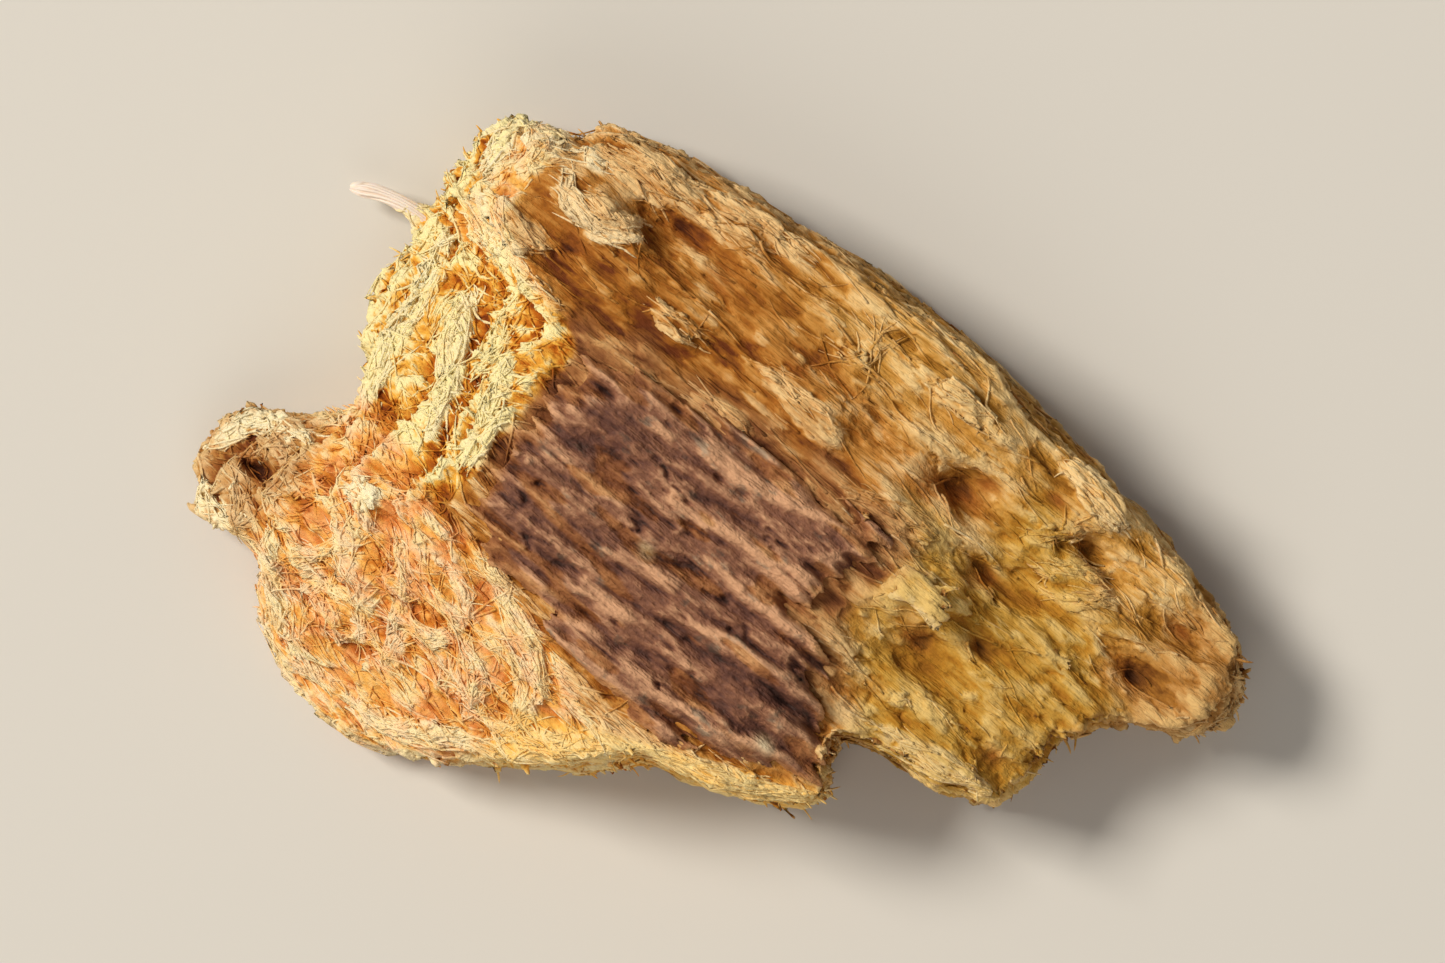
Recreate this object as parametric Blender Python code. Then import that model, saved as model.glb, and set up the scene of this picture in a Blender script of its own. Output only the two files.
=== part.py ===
"""One chip of dried cascara sagrada bark, 12 mm long, lying on its smooth inner face.

+X runs along the grain towards the narrow nose, +Y towards the straight back edge, and +Z
towards the outer, corky side. Metres.
"""

import math

import bmesh
import bpy
from mathutils import Vector, noise
from mathutils.geometry import interpolate_bezier

MM = 0.001

# Heights above the resting face
TAN_LAYER_HEIGHT = 2.85 * MM    # crest of the layer that shows where the cork has flaked off
CORK_THICKNESS = 0.28 * MM      # how far the remaining cork stands above that layer
END_FOOT_HEIGHT = 0.45 * MM     # the torn faces never get thinner than this

# Curvature of the trunk that the bark came from
TRUNK_RADIUS = 16.0 * MM
CREST_Y = 0.6 * MM

# Cork ridges
RIDGE_SPACING = 0.46 * MM
RIDGE_HEIGHT = 0.17 * MM

# Fine relief
GRAIN_RELIEF = 0.20 * MM        # torn strands of the tan layer
SPONGE_RELIEF = 0.26 * MM       # crumbly lumps of the torn faces
SIDE_RELIEF = 0.13 * MM         # strands on the sides that run with the grain
END_RELIEF = 0.30 * MM          # strand ends on the sides that cross the grain
LAYER_SPACING = 0.72 * MM       # from one groove between inner layers to the next
LAYER_GROOVE = 0.20 * MM        # depth of such a groove where it gapes most

# Side wall
FOOT_INSET = 0.28 * MM          # the wall curls in under itself at the resting face
FOOT_CURL_HEIGHT = 0.45 * MM
WALL_LEAN = 0.09                # how far the wall leans in for each unit of height

# The one strand that sticks out of the broken left end
STRAND_FOOT = Vector((-5.8 * MM, 1.2 * MM, 0.52 * MM))
STRAND_REACH = 1.05 * MM
STRAND_DROOP = 0.30 * MM        # how far its tip bends towards -Y
STRAND_WIDTH = 0.11 * MM

# Mesh steps, and the share of the triangles that is kept
STEPS_PER_SPAN = 8              # from one outline point to the next
WALL_ROWS = 24                  # from the foot to the rim
TOP_RINGS = 56                  # from the rim to the middle
KEPT_SHARE = 0.18
NEAR_FOOT = 0.05 * MM           # points this low belong to the resting face

# Outline from above, in millimetres, anticlockwise from the tip of the nose
OUTLINE = (
    (6.1, 3.0), (5.75, 3.6), (4.4, 4.05), (2.4, 4.3), (0.5, 4.5), (-1.8, 4.3), (-4.0, 3.9),
    (-4.75, 3.65), (-5.0, 3.2), (-5.75, 2.95), (-5.9, 2.2), (-5.84, 1.4), (-5.8, 1.2),
    (-5.79, 1.0), (-5.75, 0.7), (-5.6, -0.3), (-5.1, -0.8), (-4.95, -1.3), (-5.4, -1.75),
    (-6.0, -2.2), (-6.1, -2.9), (-5.7, -3.45), (-4.8, -3.4), (-4.3, -3.9), (-3.5, -4.42),
    (-2.3, -4.5), (-1.4, -4.1), (-0.1, -3.25), (0.55, -2.7), (0.9, -2.3), (1.6, -2.1),
    (2.85, -1.35), (2.6, -0.75), (2.6, -0.4), (4.0, -0.1), (4.6, 0.3), (4.75, 1.5),
    (5.15, 2.05), (5.85, 2.45),
)

# The point that every stretch of the outline faces
HEART = Vector((-1.3 * MM, 0.3 * MM, 0.0))

# Border of the cork that remains, in millimetres
CORK_BORDER = (
    (-3.15, 1.3), (-1.6, 1.55), (0.2, 1.75), (1.45, 1.85), (1.35, 0.6), (2.1, 0.15),
    (2.5, -0.6), (2.62, -1.15), (1.2, -1.75), (-0.3, -2.0), (-1.3, -1.6), (-3.1, -1.3),
)

# Lumps and hollows of the worn face: centre, half length, half width and height, in millimetres
LUMPS = (
    (-4.10, 2.65, 0.80, 0.30, 0.34),
    (-2.40, 2.20, 0.50, 0.20, 0.20),
    (-0.70, 2.50, 0.70, 0.22, 0.24),
    (-1.25, 1.62, 0.60, 0.20, 0.22),
    (-0.75, 3.50, 0.55, 0.40, 0.15),
    (0.90, 3.80, 0.90, 0.35, 0.16),
    (2.25, 1.62, 0.42, 0.38, 0.38),
    (3.20, 3.95, 0.60, 0.30, 0.22),
    (5.70, 3.00, 0.45, 0.55, 0.26),
    (1.60, 3.00, 0.42, 0.34, -0.46),
    (2.75, 2.45, 0.75, 0.40, -0.38),
    (2.50, 1.05, 0.60, 0.28, -0.26),
    (3.45, 3.38, 0.34, 0.22, -0.34),
    (4.85, 3.40, 0.30, 0.24, -0.30),
    (4.80, 2.50, 0.26, 0.22, -0.28),
    (4.30, 0.60, 0.30, 0.24, -0.26),
    (-3.35, 3.05, 0.55, 0.22, -0.28),
    (-5.35, -2.62, 0.22, 0.20, -0.42),
)


def smooth_step(low, high, value):
    """0 up to low, 1 from high on, and a smooth rise between them."""
    share = min(max((value - low) / (high - low), 0.0), 1.0)
    return share * share * (3.0 - 2.0 * share)


def soft_min(first, second, softness):
    """The lower of two heights, with their crossing rounded over softness."""
    near = max(softness - abs(first - second), 0.0) / softness
    return min(first, second) - near * near * softness / 4.0


def stretched_noise(x, y, along, across, seed):
    """Noise from -1 to 1 whose lumps are along by across in size."""
    return noise.noise(Vector((x / along, y / across, seed)))


def grain_noise(place, seed):
    """Noise from -1 to 1 whose lumps are strands along the grain."""
    x, y, z = place
    return noise.noise(Vector((x / (1.7 * MM), y / (0.30 * MM) + seed, z / (0.26 * MM))))


def in_metres(points):
    return [Vector((x * MM, y * MM, 0.0)) for x, y in points]


def smooth_loop(points, steps):
    """A closed smooth curve through the points, with this many steps from one to the next."""
    loop = []
    count = len(points)
    for i in range(count):
        before, start = points[i - 1], points[i]
        end, after = points[(i + 1) % count], points[(i + 2) % count]
        reach = (end - start).length / 3.0
        leave = start + (end - before).normalized() * reach
        arrive = end - (after - start).normalized() * reach
        loop += interpolate_bezier(start, leave, arrive, end, steps + 1)[:-1]
    return loop


def depth_inside(x, y, border):
    """Distance from the border, positive inside it and negative outside."""
    nearest = 1.0
    inside = False
    for i, end in enumerate(border):
        start = border[i - 1]
        run_x, run_y = end.x - start.x, end.y - start.y
        along = ((x - start.x) * run_x + (y - start.y) * run_y) / (run_x ** 2 + run_y ** 2)
        along = min(max(along, 0.0), 1.0)
        away = math.hypot(x - start.x - along * run_x, y - start.y - along * run_y)
        nearest = min(nearest, away)
        if (start.y > y) != (end.y > y) and x < start.x + (y - start.y) * run_x / run_y:
            inside = not inside
    return nearest if inside else -nearest


def crown_height(x, y):
    """The tan layer, bent round the trunk and torn deeper towards the nose."""
    height = TAN_LAYER_HEIGHT - (y - CREST_Y) ** 2 / (2.0 * TRUNK_RADIUS)
    torn = smooth_step(0.9 * MM, 2.4 * MM, x) * 0.25 * MM
    return height - torn - 0.20 * max(x - 1.8 * MM, 0.0)


def end_height(x, y):
    """The broken left end, which starts further out behind the cork than beside it."""
    brink = -3.15 * MM - 1.75 * MM * smooth_step(1.1 * MM, 1.9 * MM, y)
    steepness = 0.86 + 0.9 * smooth_step(1.1 * MM, 1.9 * MM, y)
    return TAN_LAYER_HEIGHT + 0.30 * MM + steepness * (x - brink)


def lobe_height(x, y):
    """The broad torn face below the cork, down to the lobe's own edge."""
    start = Vector((-3.1 * MM, -1.35 * MM))
    fall = Vector((-0.24, -0.97))
    away = (x - start.x) * fall.x + (y - start.y) * fall.y
    return TAN_LAYER_HEIGHT + 0.30 * MM - 0.84 * away


def lumps_height(x, y):
    height = 0.0
    for centre_x, centre_y, half_length, half_width, rise in LUMPS:
        far = ((x / MM - centre_x) / half_length) ** 2 + ((y / MM - centre_y) / half_width) ** 2
        height += rise * MM * math.exp(-far)
    return height


def ridges_height(x, y):
    """Rounded cork ridges with narrow grooves, wavy and now and then broken."""
    sway = 0.16 * MM * stretched_noise(x, y, 2.2 * MM, 0.9 * MM, 3.0)
    turn = math.pi * (y + sway + 0.05 * x) / RIDGE_SPACING
    broken = 0.75 + 0.5 * stretched_noise(x, y, 0.9 * MM, 0.4 * MM, 8.0)
    return RIDGE_HEIGHT * broken * (abs(math.sin(turn)) ** 1.2 - 0.6)


def strands_height(x, y):
    """Short torn strands that lie along the grain."""
    coarse = stretched_noise(x, y, 1.1 * MM, 0.30 * MM, 1.0)
    fine = stretched_noise(x, y, 0.6 * MM, 0.22 * MM, 5.0)
    return GRAIN_RELIEF * (0.7 * coarse + 0.5 * fine)


def sponge_height(x, y):
    coarse = stretched_noise(x, y, 0.62 * MM, 0.50 * MM, 11.0)
    fine = stretched_noise(x, y, 0.34 * MM, 0.30 * MM, 17.0)
    return SPONGE_RELIEF * (0.8 * coarse + 0.5 * fine)


def top_height(x, y, cork_border):
    """Height of the upper surface: the lowest of the worn face and the two torn faces."""
    worn = crown_height(x, y) + lumps_height(x, y)
    broken = soft_min(end_height(x, y), lobe_height(x, y), 0.5 * MM)
    on_break = smooth_step(-0.25 * MM, 0.35 * MM, worn - broken)
    ragged = 0.10 * MM * stretched_noise(x, y, 0.5 * MM, 0.4 * MM, 21.0)
    cork = smooth_step(-0.10 * MM, 0.10 * MM, depth_inside(x, y, cork_border) + ragged)
    cork *= 1.0 - on_break
    height = soft_min(worn, broken, 0.35 * MM)
    height += cork * (CORK_THICKNESS + ridges_height(x, y))
    height += (1.0 - cork) * (1.0 - on_break) * strands_height(x, y)
    height += on_break * sponge_height(x, y)
    return max(height, END_FOOT_HEIGHT + 0.3 * sponge_height(x, y))


def wall_point(point, height):
    """Where the side wall stands at this height above a point of the outline."""
    outward = (point - HEART).normalized()
    place = Vector((point.x, point.y, height))
    across_grain = outward.x ** 2
    relief = SIDE_RELIEF + (END_RELIEF - SIDE_RELIEF) * across_grain
    strands = relief * (0.75 * grain_noise(place, 0.0) + 0.45 * grain_noise(place * 2.0, 7.0))
    bend = 0.5 * MM * noise.noise(place / (2.4 * MM))
    layer = (height + bend) / LAYER_SPACING
    gape = max(0.0, 0.45 + 1.1 * noise.noise(place / (1.3 * MM) + Vector((4.0, 0.0, 9.0))))
    groove = LAYER_GROOVE * gape * max(0.0, 1.0 - abs((layer % 1.0) - 0.5) / 0.22)
    curl = FOOT_INSET * (1.0 - smooth_step(-0.1 * MM, FOOT_CURL_HEIGHT, height))
    pull = math.exp(-((place - STRAND_FOOT).length / STRAND_WIDTH) ** 2)
    strand = Vector((-STRAND_REACH, -STRAND_DROOP * pull, 0.0)) * pull
    return place + strand + outward * (strands - groove - curl - WALL_LEAN * height)


def wall_column(point, cork_border):
    """The wall above one point of the outline, from the foot up to where it meets the top."""
    height = TAN_LAYER_HEIGHT
    for _ in range(6):
        rim = wall_point(point, height)
        height = 0.5 * (height + top_height(rim.x, rim.y, cork_border))
    rim.z = top_height(rim.x, rim.y, cork_border)
    column = [wall_point(point, rim.z * row / WALL_ROWS) for row in range(WALL_ROWS)]
    return column + [rim]


def top_ring(rim, share, cork_border):
    """A ring of the upper surface, this share of the way from the middle to the rim."""
    ring = []
    for place in rim:
        x = HEART.x + (place.x - HEART.x) * share
        y = HEART.y + (place.y - HEART.y) * share
        ring.append(Vector((x, y, top_height(x, y, cork_border))))
    return ring


def join_rings(shape, lower, upper):
    for i in range(len(lower)):
        shape.faces.new((lower[i - 1], lower[i], upper[i], upper[i - 1]))


def fine_chip():
    """The closed chip before it is thinned: a flat foot, the wall's rows and the top's rings."""
    cork_border = smooth_loop(in_metres(CORK_BORDER), 3)
    outline = smooth_loop(in_metres(OUTLINE), STEPS_PER_SPAN)
    columns = [wall_column(point, cork_border) for point in outline]
    rings = [list(row) for row in zip(*columns)]
    rim = rings[-1]
    for step in range(TOP_RINGS - 1, 0, -1):
        rings.append(top_ring(rim, step / TOP_RINGS, cork_border))
    shape = bmesh.new()
    rings = [[shape.verts.new(place) for place in ring] for ring in rings]
    for lower, upper in zip(rings, rings[1:]):
        join_rings(shape, lower, upper)
    shape.faces.new(reversed(rings[0]))
    shape.faces.new(rings[-1])
    bmesh.ops.recalc_face_normals(shape, faces=shape.faces)
    return shape


def bark_material():
    material = bpy.data.materials.new("dried_bark")
    material.use_nodes = True
    shader = material.node_tree.nodes["Principled BSDF"]
    shader.inputs["Base Color"].default_value = (0.47, 0.26, 0.09, 1.0)
    shader.inputs["Roughness"].default_value = 0.85
    shader.inputs["Metallic"].default_value = 0.0
    return material


def thinned_mesh(piece):
    """The piece's mesh with fewer triangles, left where the surface bends most."""
    decimate = piece.modifiers.new("thin_out", "DECIMATE")
    decimate.ratio = KEPT_SHARE
    graph = bpy.context.evaluated_depsgraph_get()
    mesh = bpy.data.meshes.new_from_object(piece.evaluated_get(graph))
    piece.modifiers.clear()
    return mesh


def set_down(mesh):
    """Makes the resting face flat at z = 0, and brings the middle of the box over the origin."""
    for vertex in mesh.vertices:
        if vertex.co.z < NEAR_FOOT:
            vertex.co.z = 0.0
    middle_x = (min(v.co.x for v in mesh.vertices) + max(v.co.x for v in mesh.vertices)) / 2.0
    middle_y = (min(v.co.y for v in mesh.vertices) + max(v.co.y for v in mesh.vertices)) / 2.0
    for vertex in mesh.vertices:
        vertex.co -= Vector((middle_x, middle_y, 0.0))


def build_chip():
    for old in list(bpy.data.objects):
        bpy.data.objects.remove(old, do_unlink=True)
    shape = fine_chip()
    mesh = bpy.data.meshes.new("bark_chip")
    shape.to_mesh(mesh)
    shape.free()
    chip = bpy.data.objects.new("bark_chip", mesh)
    bpy.context.scene.collection.objects.link(chip)
    chip.data = thinned_mesh(chip)
    set_down(chip.data)
    chip.data.materials.append(bark_material())


build_chip()
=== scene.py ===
"""One chip of dried cascara sagrada bark, 13 mm long, lying on its smooth inner face.

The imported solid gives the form. Its skin is remade here in fine detail: the torn strands of the
inner bark, the ridged plate of cork that remains on it, and the loose fibres of its broken edges.
The modelling is in millimetres, in the frame of the chip's own drawing, because Blender's mesh
tools are made for larger things. Each finished piece is then brought to its place, in metres.
"""

import math
import random

import bpy
import numpy as np
from mathutils import Matrix, Vector, noise
from mathutils.bvhtree import BVHTree
from mathutils.kdtree import KDTree


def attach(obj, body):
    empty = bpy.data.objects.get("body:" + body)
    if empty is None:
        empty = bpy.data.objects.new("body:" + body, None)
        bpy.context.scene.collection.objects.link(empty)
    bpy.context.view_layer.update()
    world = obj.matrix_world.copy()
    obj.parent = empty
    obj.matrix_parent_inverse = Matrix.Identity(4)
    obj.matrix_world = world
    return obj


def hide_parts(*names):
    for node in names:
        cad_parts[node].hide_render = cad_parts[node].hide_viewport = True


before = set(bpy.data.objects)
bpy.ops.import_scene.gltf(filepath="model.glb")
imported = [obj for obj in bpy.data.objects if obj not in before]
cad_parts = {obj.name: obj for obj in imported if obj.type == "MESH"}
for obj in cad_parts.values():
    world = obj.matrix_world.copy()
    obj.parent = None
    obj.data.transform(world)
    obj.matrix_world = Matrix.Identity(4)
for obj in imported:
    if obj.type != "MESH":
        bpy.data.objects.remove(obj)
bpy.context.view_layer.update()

# From the drawing's millimetres to the frame: the middle of the chip's box is the origin there
BOX_MIDDLE = Vector((-0.344, -0.030, 0.0))
TO_FRAME = Matrix.Scale(0.001, 4) @ Matrix.Translation(-BOX_MIDDLE)
TO_DRAWING = TO_FRAME.inverted()

# Sizes, in millimetres
SMOOTH_VOXEL = 0.05  # of the plain form, before strands are laid on it
SKIN_VOXEL = 0.034  # of the skin, strands included
CORK_VOXEL = 0.028  # of the cork plate
CORK_STEP = 0.28  # how far the cork stands above the tan layer
CORK_ROOT = 0.20  # how far its plate reaches down into that layer
CORK_SHEET = 6.6  # side of the square sheet that the plate is cut from
SHEET_NARROWING = 0.68  # its width across the grain, as a share of that
RIDGE_SPACING = 0.44  # from one cork ridge to the next
RIDGE_HEIGHT = 0.15  # of those ridges
TAN_HEIGHT = 2.85  # of the crest of the tan layer
TRUNK_RADIUS = 16.0  # of the trunk that the bark came from
CREST_Y = 0.6  # where the bark's crest runs
END_BRINK = -3.22  # X where the broken left end begins, along the cork
END_SETBACK = 1.75  # how much further left it begins behind the cork
WELL_UNDER_CORK = 0.35  # nothing shows of the skin this far inside the cork's border
LOWEST_STRAND = 0.12  # no strand starts lower than this
LOWEST_FIBRE = 0.3  # and no single fibre lower than this
FIBRE_PITCH = 0.085  # from one fibre of a bundle to the next
FIBRE_TIP = 0.003  # half width of a single fibre at its tip
STRAY_FOOT = (-5.80, 1.20, 0.53)
STRAY_REACH = 1.03  # how far the stray strand sticks out of the left end
STRAY_DROOP = 0.30  # how far its tip bends towards -Y
ABOVE_ALL = 20.0  # a height to drop things from, onto the surface

# Numbers of things
SKIN_TRIANGLES = 192000
HIDDEN_TRIANGLES = 16000  # of these, on the flat inner face and under the cork
STRAND_PLACES = 4200  # places that the skin's strands may start from
LOOSE_FIBRES = 2240  # single fibres along the bundles and everywhere else
TORN_FIBRES = 1500  # more of them, on the torn faces
FIBRES_PER_MM = 20  # of these fibres, along each millimetre of a bundle
KNOB_FIBRES = 22  # strands in a knob
TWISTED_FIBRES = 11  # fibres round the stray strand
CURVE_POINTS = 40  # points along a bundle's curve
STOPS = 9  # points along a strand
SIDES = 5  # of a strand

BLEACHING = 1.4  # how far a fibre is bleached, for each 1 that its shade passes 1

# The picture, in metres and degrees where nothing else is said
VIEW_WIDTH = 0.0185  # of what the camera takes in
VIEW_MIDDLE = (-0.0004, 0.0011)
VIEW_TURN = 40.0  # of the camera about the upright
LENS = 300.0  # millimetres: a long lens, as there is no perspective to see
BUMP_DEPTH = 0.00005  # of the materials' own fine relief, in metres

# Border of the cork that remains
CORK_BORDER = (
    (-3.15, 1.3), (-1.6, 1.55), (0.2, 1.75), (1.35, 1.85), (1.08, 1.05), (1.08, 0.5), (1.8, 0.0),
    (2.42, -0.6), (2.6, -1.15), (1.2, -1.75), (-0.3, -2.0), (-1.3, -1.6), (-3.1, -1.3),
)

# The olive, spongy hollow between the cork and the nose
OLIVE_BORDER = (
    (1.55, 1.9), (1.6, 0.7), (2.3, 0.2), (2.7, -0.8), (4.2, -0.5), (4.9, 0.5), (4.8, 2.0),
    (4.2, 2.7), (3.3, 3.5), (2.4, 3.5), (2.2, 2.5), (1.2, 2.4),
)

# Bundles of fibres that stand out from the rest: half width, shade, and the places they pass.
# A shade goes from 0, dark, to 1, pale, and above that the fibres are bleached.
BUNDLES = (
    (0.13, 1.35, ((-4.74, 2.86), (-4.44, 2.54), (-3.98, 2.5), (-3.5, 2.74))),
    (0.09, 1.1, ((-4.36, 2.74), (-3.92, 2.72), (-3.44, 3.0))),
    (0.13, 0.75, ((-4.5, 3.22), (-4.0, 3.36), (-3.4, 3.28))),
    (0.15, 0.95, ((-5.45, 1.98), (-4.9, 1.82), (-4.3, 1.86))),
    (0.13, 0.85, ((-5.2, 1.48), (-4.7, 1.55), (-4.0, 1.42))),
    (0.1, 1.05, ((-1.75, 1.66), (-1.35, 1.7), (-0.9, 1.76))),
    (0.09, 0.85, ((-1.25, 2.46), (-0.8, 2.5), (-0.35, 2.57))),
    (0.11, 0.8, ((-2.85, 2.2), (-2.45, 2.2), (-2.0, 2.26))),
    (0.12, 0.7, ((-3.15, 3.45), (-2.6, 3.52), (-2.0, 3.6))),
    (0.11, 0.75, ((-0.85, 3.25), (-0.45, 3.3), (-0.4, 3.6), (-0.8, 3.72))),
    (0.16, 1.0, ((0.5, 3.66), (0.9, 3.78), (1.4, 3.76))),
    (0.17, 1.2, ((2.45, 4.04), (3.0, 3.98), (3.6, 3.84))),
    (0.09, 1.0, ((3.0, 2.74), (3.42, 3.08), (3.85, 3.4))),
    (0.09, 1.0, ((3.3, 2.54), (3.66, 2.84), (4.02, 3.12))),
    (0.1, 0.65, ((2.6, 3.0), (2.95, 3.3), (3.1, 3.6))),
    (0.12, 0.75, ((0.55, 1.95), (1.1, 2.15), (1.75, 2.2))),
    (0.17, 1.0, ((-0.95, -2.08), (-0.2, -2.22), (0.6, -2.12), (1.3, -1.92))),
    (0.15, 1.05, ((0.2, -2.28), (1.05, -2.0), (1.9, -1.68), (2.52, -1.36))),
    (0.12, 0.9, ((0.8, -2.05), (1.6, -1.82), (2.2, -1.55), (2.75, -1.22))),
    (0.15, 1.2, ((2.75, -0.14), (3.25, 0.0), (3.8, 0.12), (4.35, 0.3))),
    (0.14, 1.15, ((5.7, 2.42), (6.0, 2.75), (6.02, 3.1), (5.75, 3.45))),
    (0.14, 2.0, ((-6.01, -2.85), (-5.87, -2.32), (-5.52, -2.02), (-4.9, -1.88))),
    (0.15, 2.0, ((-4.32, -2.04), (-4.14, -1.97), (-3.94, -1.9))),
    (0.09, 0.85, ((-5.72, -2.3), (-5.35, -2.18), (-5.05, -2.4), (-5.1, -2.85))),
    (0.13, 1.7, ((-5.85, -3.22), (-5.5, -3.4), (-5.12, -3.2))),
    (0.12, 0.95, ((-2.3, -1.55), (-1.8, -1.85), (-1.2, -2.1), (-0.7, -2.55))),
    (0.1, 0.9, ((-1.7, -2.1), (-1.05, -2.45), (-0.75, -2.95), (-1.25, -3.25))),
    (0.09, 0.85, ((-2.0, -2.6), (-1.55, -2.75), (-1.45, -3.05), (-1.8, -3.2))),
    (0.1, 0.9, ((-4.45, -1.75), (-4.1, -2.0), (-3.85, -2.4), (-4.0, -2.85), (-4.3, -3.0))),
    (0.08, 0.9, ((-3.95, -3.4), (-3.6, -3.08), (-3.2, -3.1), (-3.05, -3.42), (-3.3, -3.66))),
    (0.08, 0.9, ((-2.75, -1.95), (-2.3, -2.15), (-2.12, -2.5), (-2.35, -2.85), (-2.75, -2.8))),
    (0.1, 0.9, ((-3.5, -2.1), (-3.1, -2.35), (-2.8, -2.8), (-2.55, -3.25), (-2.75, -3.65))),
    (0.13, 1.25, ((-4.78, -3.02), (-4.32, -3.56), (-3.6, -4.02), (-2.9, -4.16))),
    (0.13, 1.15, ((-2.8, -4.14), (-1.95, -4.0), (-1.35, -3.66), (-0.65, -3.3))),
    (0.12, 0.95, ((-0.85, -3.22), (-0.22, -2.8), (0.28, -2.48))),
    (0.18, 1.45, ((-5.42, 1.3), (-5.2, 0.5), (-5.08, -0.3), (-4.75, -1.2))),
    (0.17, 1.45, ((-4.75, 1.0), (-4.45, 0.25), (-4.1, -0.3), (-3.85, -0.95))),
    (0.13, 1.15, ((-3.75, 0.6), (-3.6, 0.1), (-3.45, -0.35), (-3.35, -0.9))),
    (0.14, 1.0, ((-4.15, 0.9), (-3.95, 0.45), (-4.05, 0.1))),
    (0.18, 1.8, ((-5.6, 2.9), (-5.58, 2.5), (-5.5, 2.05))),
    (0.12, 1.5, ((-5.42, 2.84), (-4.95, 3.0), (-4.4, 3.2))),
    (0.12, 1.02, ((-4.5, 3.4), (-3.6, 3.62), (-2.6, 3.84), (-1.7, 3.92))),
    (0.14, 0.95, ((-5.1, 3.1), (-5.15, 2.75), (-5.1, 2.35))),
)

# Pale crumbs and knobs: place and half width
KNOBS = (
    (2.1, 1.62, 0.34), (2.72, 0.42, 0.12), (3.4, 1.0, 0.1), (1.95, 0.85, 0.1),
    (-5.42, -3.38, 0.11), (-5.85, -3.22, 0.09), (-0.3, -2.18, 0.15), (-0.92, -0.2, 0.09),
    (1.78, -1.12, 0.09), (4.0, 2.1, 0.11),
)

# Dark pits: place, half width and depth
PITS = (
    (-5.36, -2.62, 0.14, 0.4), (1.62, 2.86, 0.26, 0.07), (3.22, 3.4, 0.16, 0.06),
    (4.9, 3.32, 0.14, 0.05), (4.8, 2.5, 0.12, 0.05), (4.1, 0.6, 0.12, 0.05),
    (2.55, 2.28, 0.22, 0.06), (2.35, 1.12, 0.24, 0.06), (-0.72, 1.22, 0.16, 0.08),
    (-2.95, 3.22, 0.16, 0.08), (3.05, 1.55, 0.14, 0.08), (-3.1, 3.2, 0.18, 0.06),
    (-2.4, 3.0, 0.16, 0.06), (-0.95, 2.85, 0.16, 0.06), (-4.1, 2.15, 0.16, 0.06),
    (-1.75, 1.32, 0.14, 0.06), (1.22, 2.72, 0.2, 0.05), (1.84, 3.18, 0.16, 0.05),
    (2.64, 3.62, 0.12, 0.04),
)

# Patches that are darker or paler than what is round them: place, half width and change of shade
BARK_PATCHES = (
    (-3.3, 1.8, 0.45, -0.85), (-2.4, 1.85, 0.4, -0.3), (-3.2, 2.4, 0.4, -0.35),
    (-1.6, 2.4, 0.4, -0.3), (-1.6, 3.0, 0.4, -0.45), (-0.8, 2.9, 0.35, -0.25),
    (-3.4, 0.7, 0.28, -0.45), (-4.05, 1.85, 0.25, -0.25), (-3.15, -0.1, 0.25, 0.35),
    (-4.0, 3.05, 0.28, 0.25), (0.8, 3.6, 0.4, 0.2), (1.6, 3.5, 0.35, 0.2),
    (1.6, 2.38, 0.4, 0.7), (1.7, 1.75, 0.35, 0.55), (1.75, 1.2, 0.35, 0.6),
    (1.7, 0.6, 0.28, 0.4), (-0.8, 2.45, 0.3, -0.25), (0.8, 3.05, 0.35, 0.2),
    (2.45, -0.05, 0.32, 0.45), (3.25, 2.9, 0.32, -0.4), (3.2, 2.3, 0.3, -0.35),
    (4.0, 2.4, 0.32, 0.3), (4.8, 1.7, 0.32, -0.4), (4.75, 1.1, 0.32, -0.65),
    # The last patch darkens the hole in the tip: painted shade
    (2.4, 1.15, 0.22, -0.4), (2.4, 2.7, 0.3, 0.2), (-5.36, -2.62, 0.14, -1.5),
)

# The same on the cork
CORK_PATCHES = (
    (-2.3, 0.65, 0.45, -0.45), (-2.45, -0.65, 0.35, -0.5), (-1.6, -0.6, 0.4, -0.3),
    (0.9, -1.0, 0.4, -0.35), (1.65, -0.5, 0.3, -0.3), (-0.6, -0.1, 0.35, -0.25),
    (-0.7, 1.2, 0.4, 0.4), (0.75, 0.6, 0.4, 0.45), (0.05, 1.45, 0.4, 0.35),
)

# Pale streaks along crests of the cork, each from one place to another
PALE_CORK_STREAKS = (
    ((-2.68, -0.05), (-1.56, 0.04)), ((-2.61, -0.56), (-2.0, -0.61)), ((-1.31, -0.59), (-0.37, -0.37)),
    ((-1.1, 0.5), (0.66, 0.77)), ((-0.24, 0.16), (1.53, 0.23)), ((-0.19, -0.58), (1.38, -0.25)),
    ((-0.22, -1.38), (1.18, -1.2)), ((1.32, -1.36), (1.84, -1.14)), ((-2.4, 1.04), (-1.62, 1.13)),
    ((-1.15, 1.24), (0.02, 1.37)), ((-1.5, -1.05), (-0.6, -0.95)),
)

# How strands lie in each part: how far they turn from the grain with their neighbours, and on
# their own, then their least and greatest length and how much they wander
HABITS = {
    "end": (1.0, 0.25, 0.25, 0.9, 0.12),
    "lobe": (1.5, 0.25, 0.25, 0.9, 0.14),
    "nose": (0.30, 0.15, 0.2, 0.8, 0.09),
    "worn": (0.10, 0.07, 0.3, 1.1, 0.05),
    "side": (0.0, 0.04, 0.5, 2.0, 0.025),
}

# The parts that single fibres lie on. A break is a side that crosses the grain.
TORN_ZONES = ("end", "lobe")
ALL_ZONES = TORN_ZONES + ("nose", "worn", "side", "break")
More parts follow.
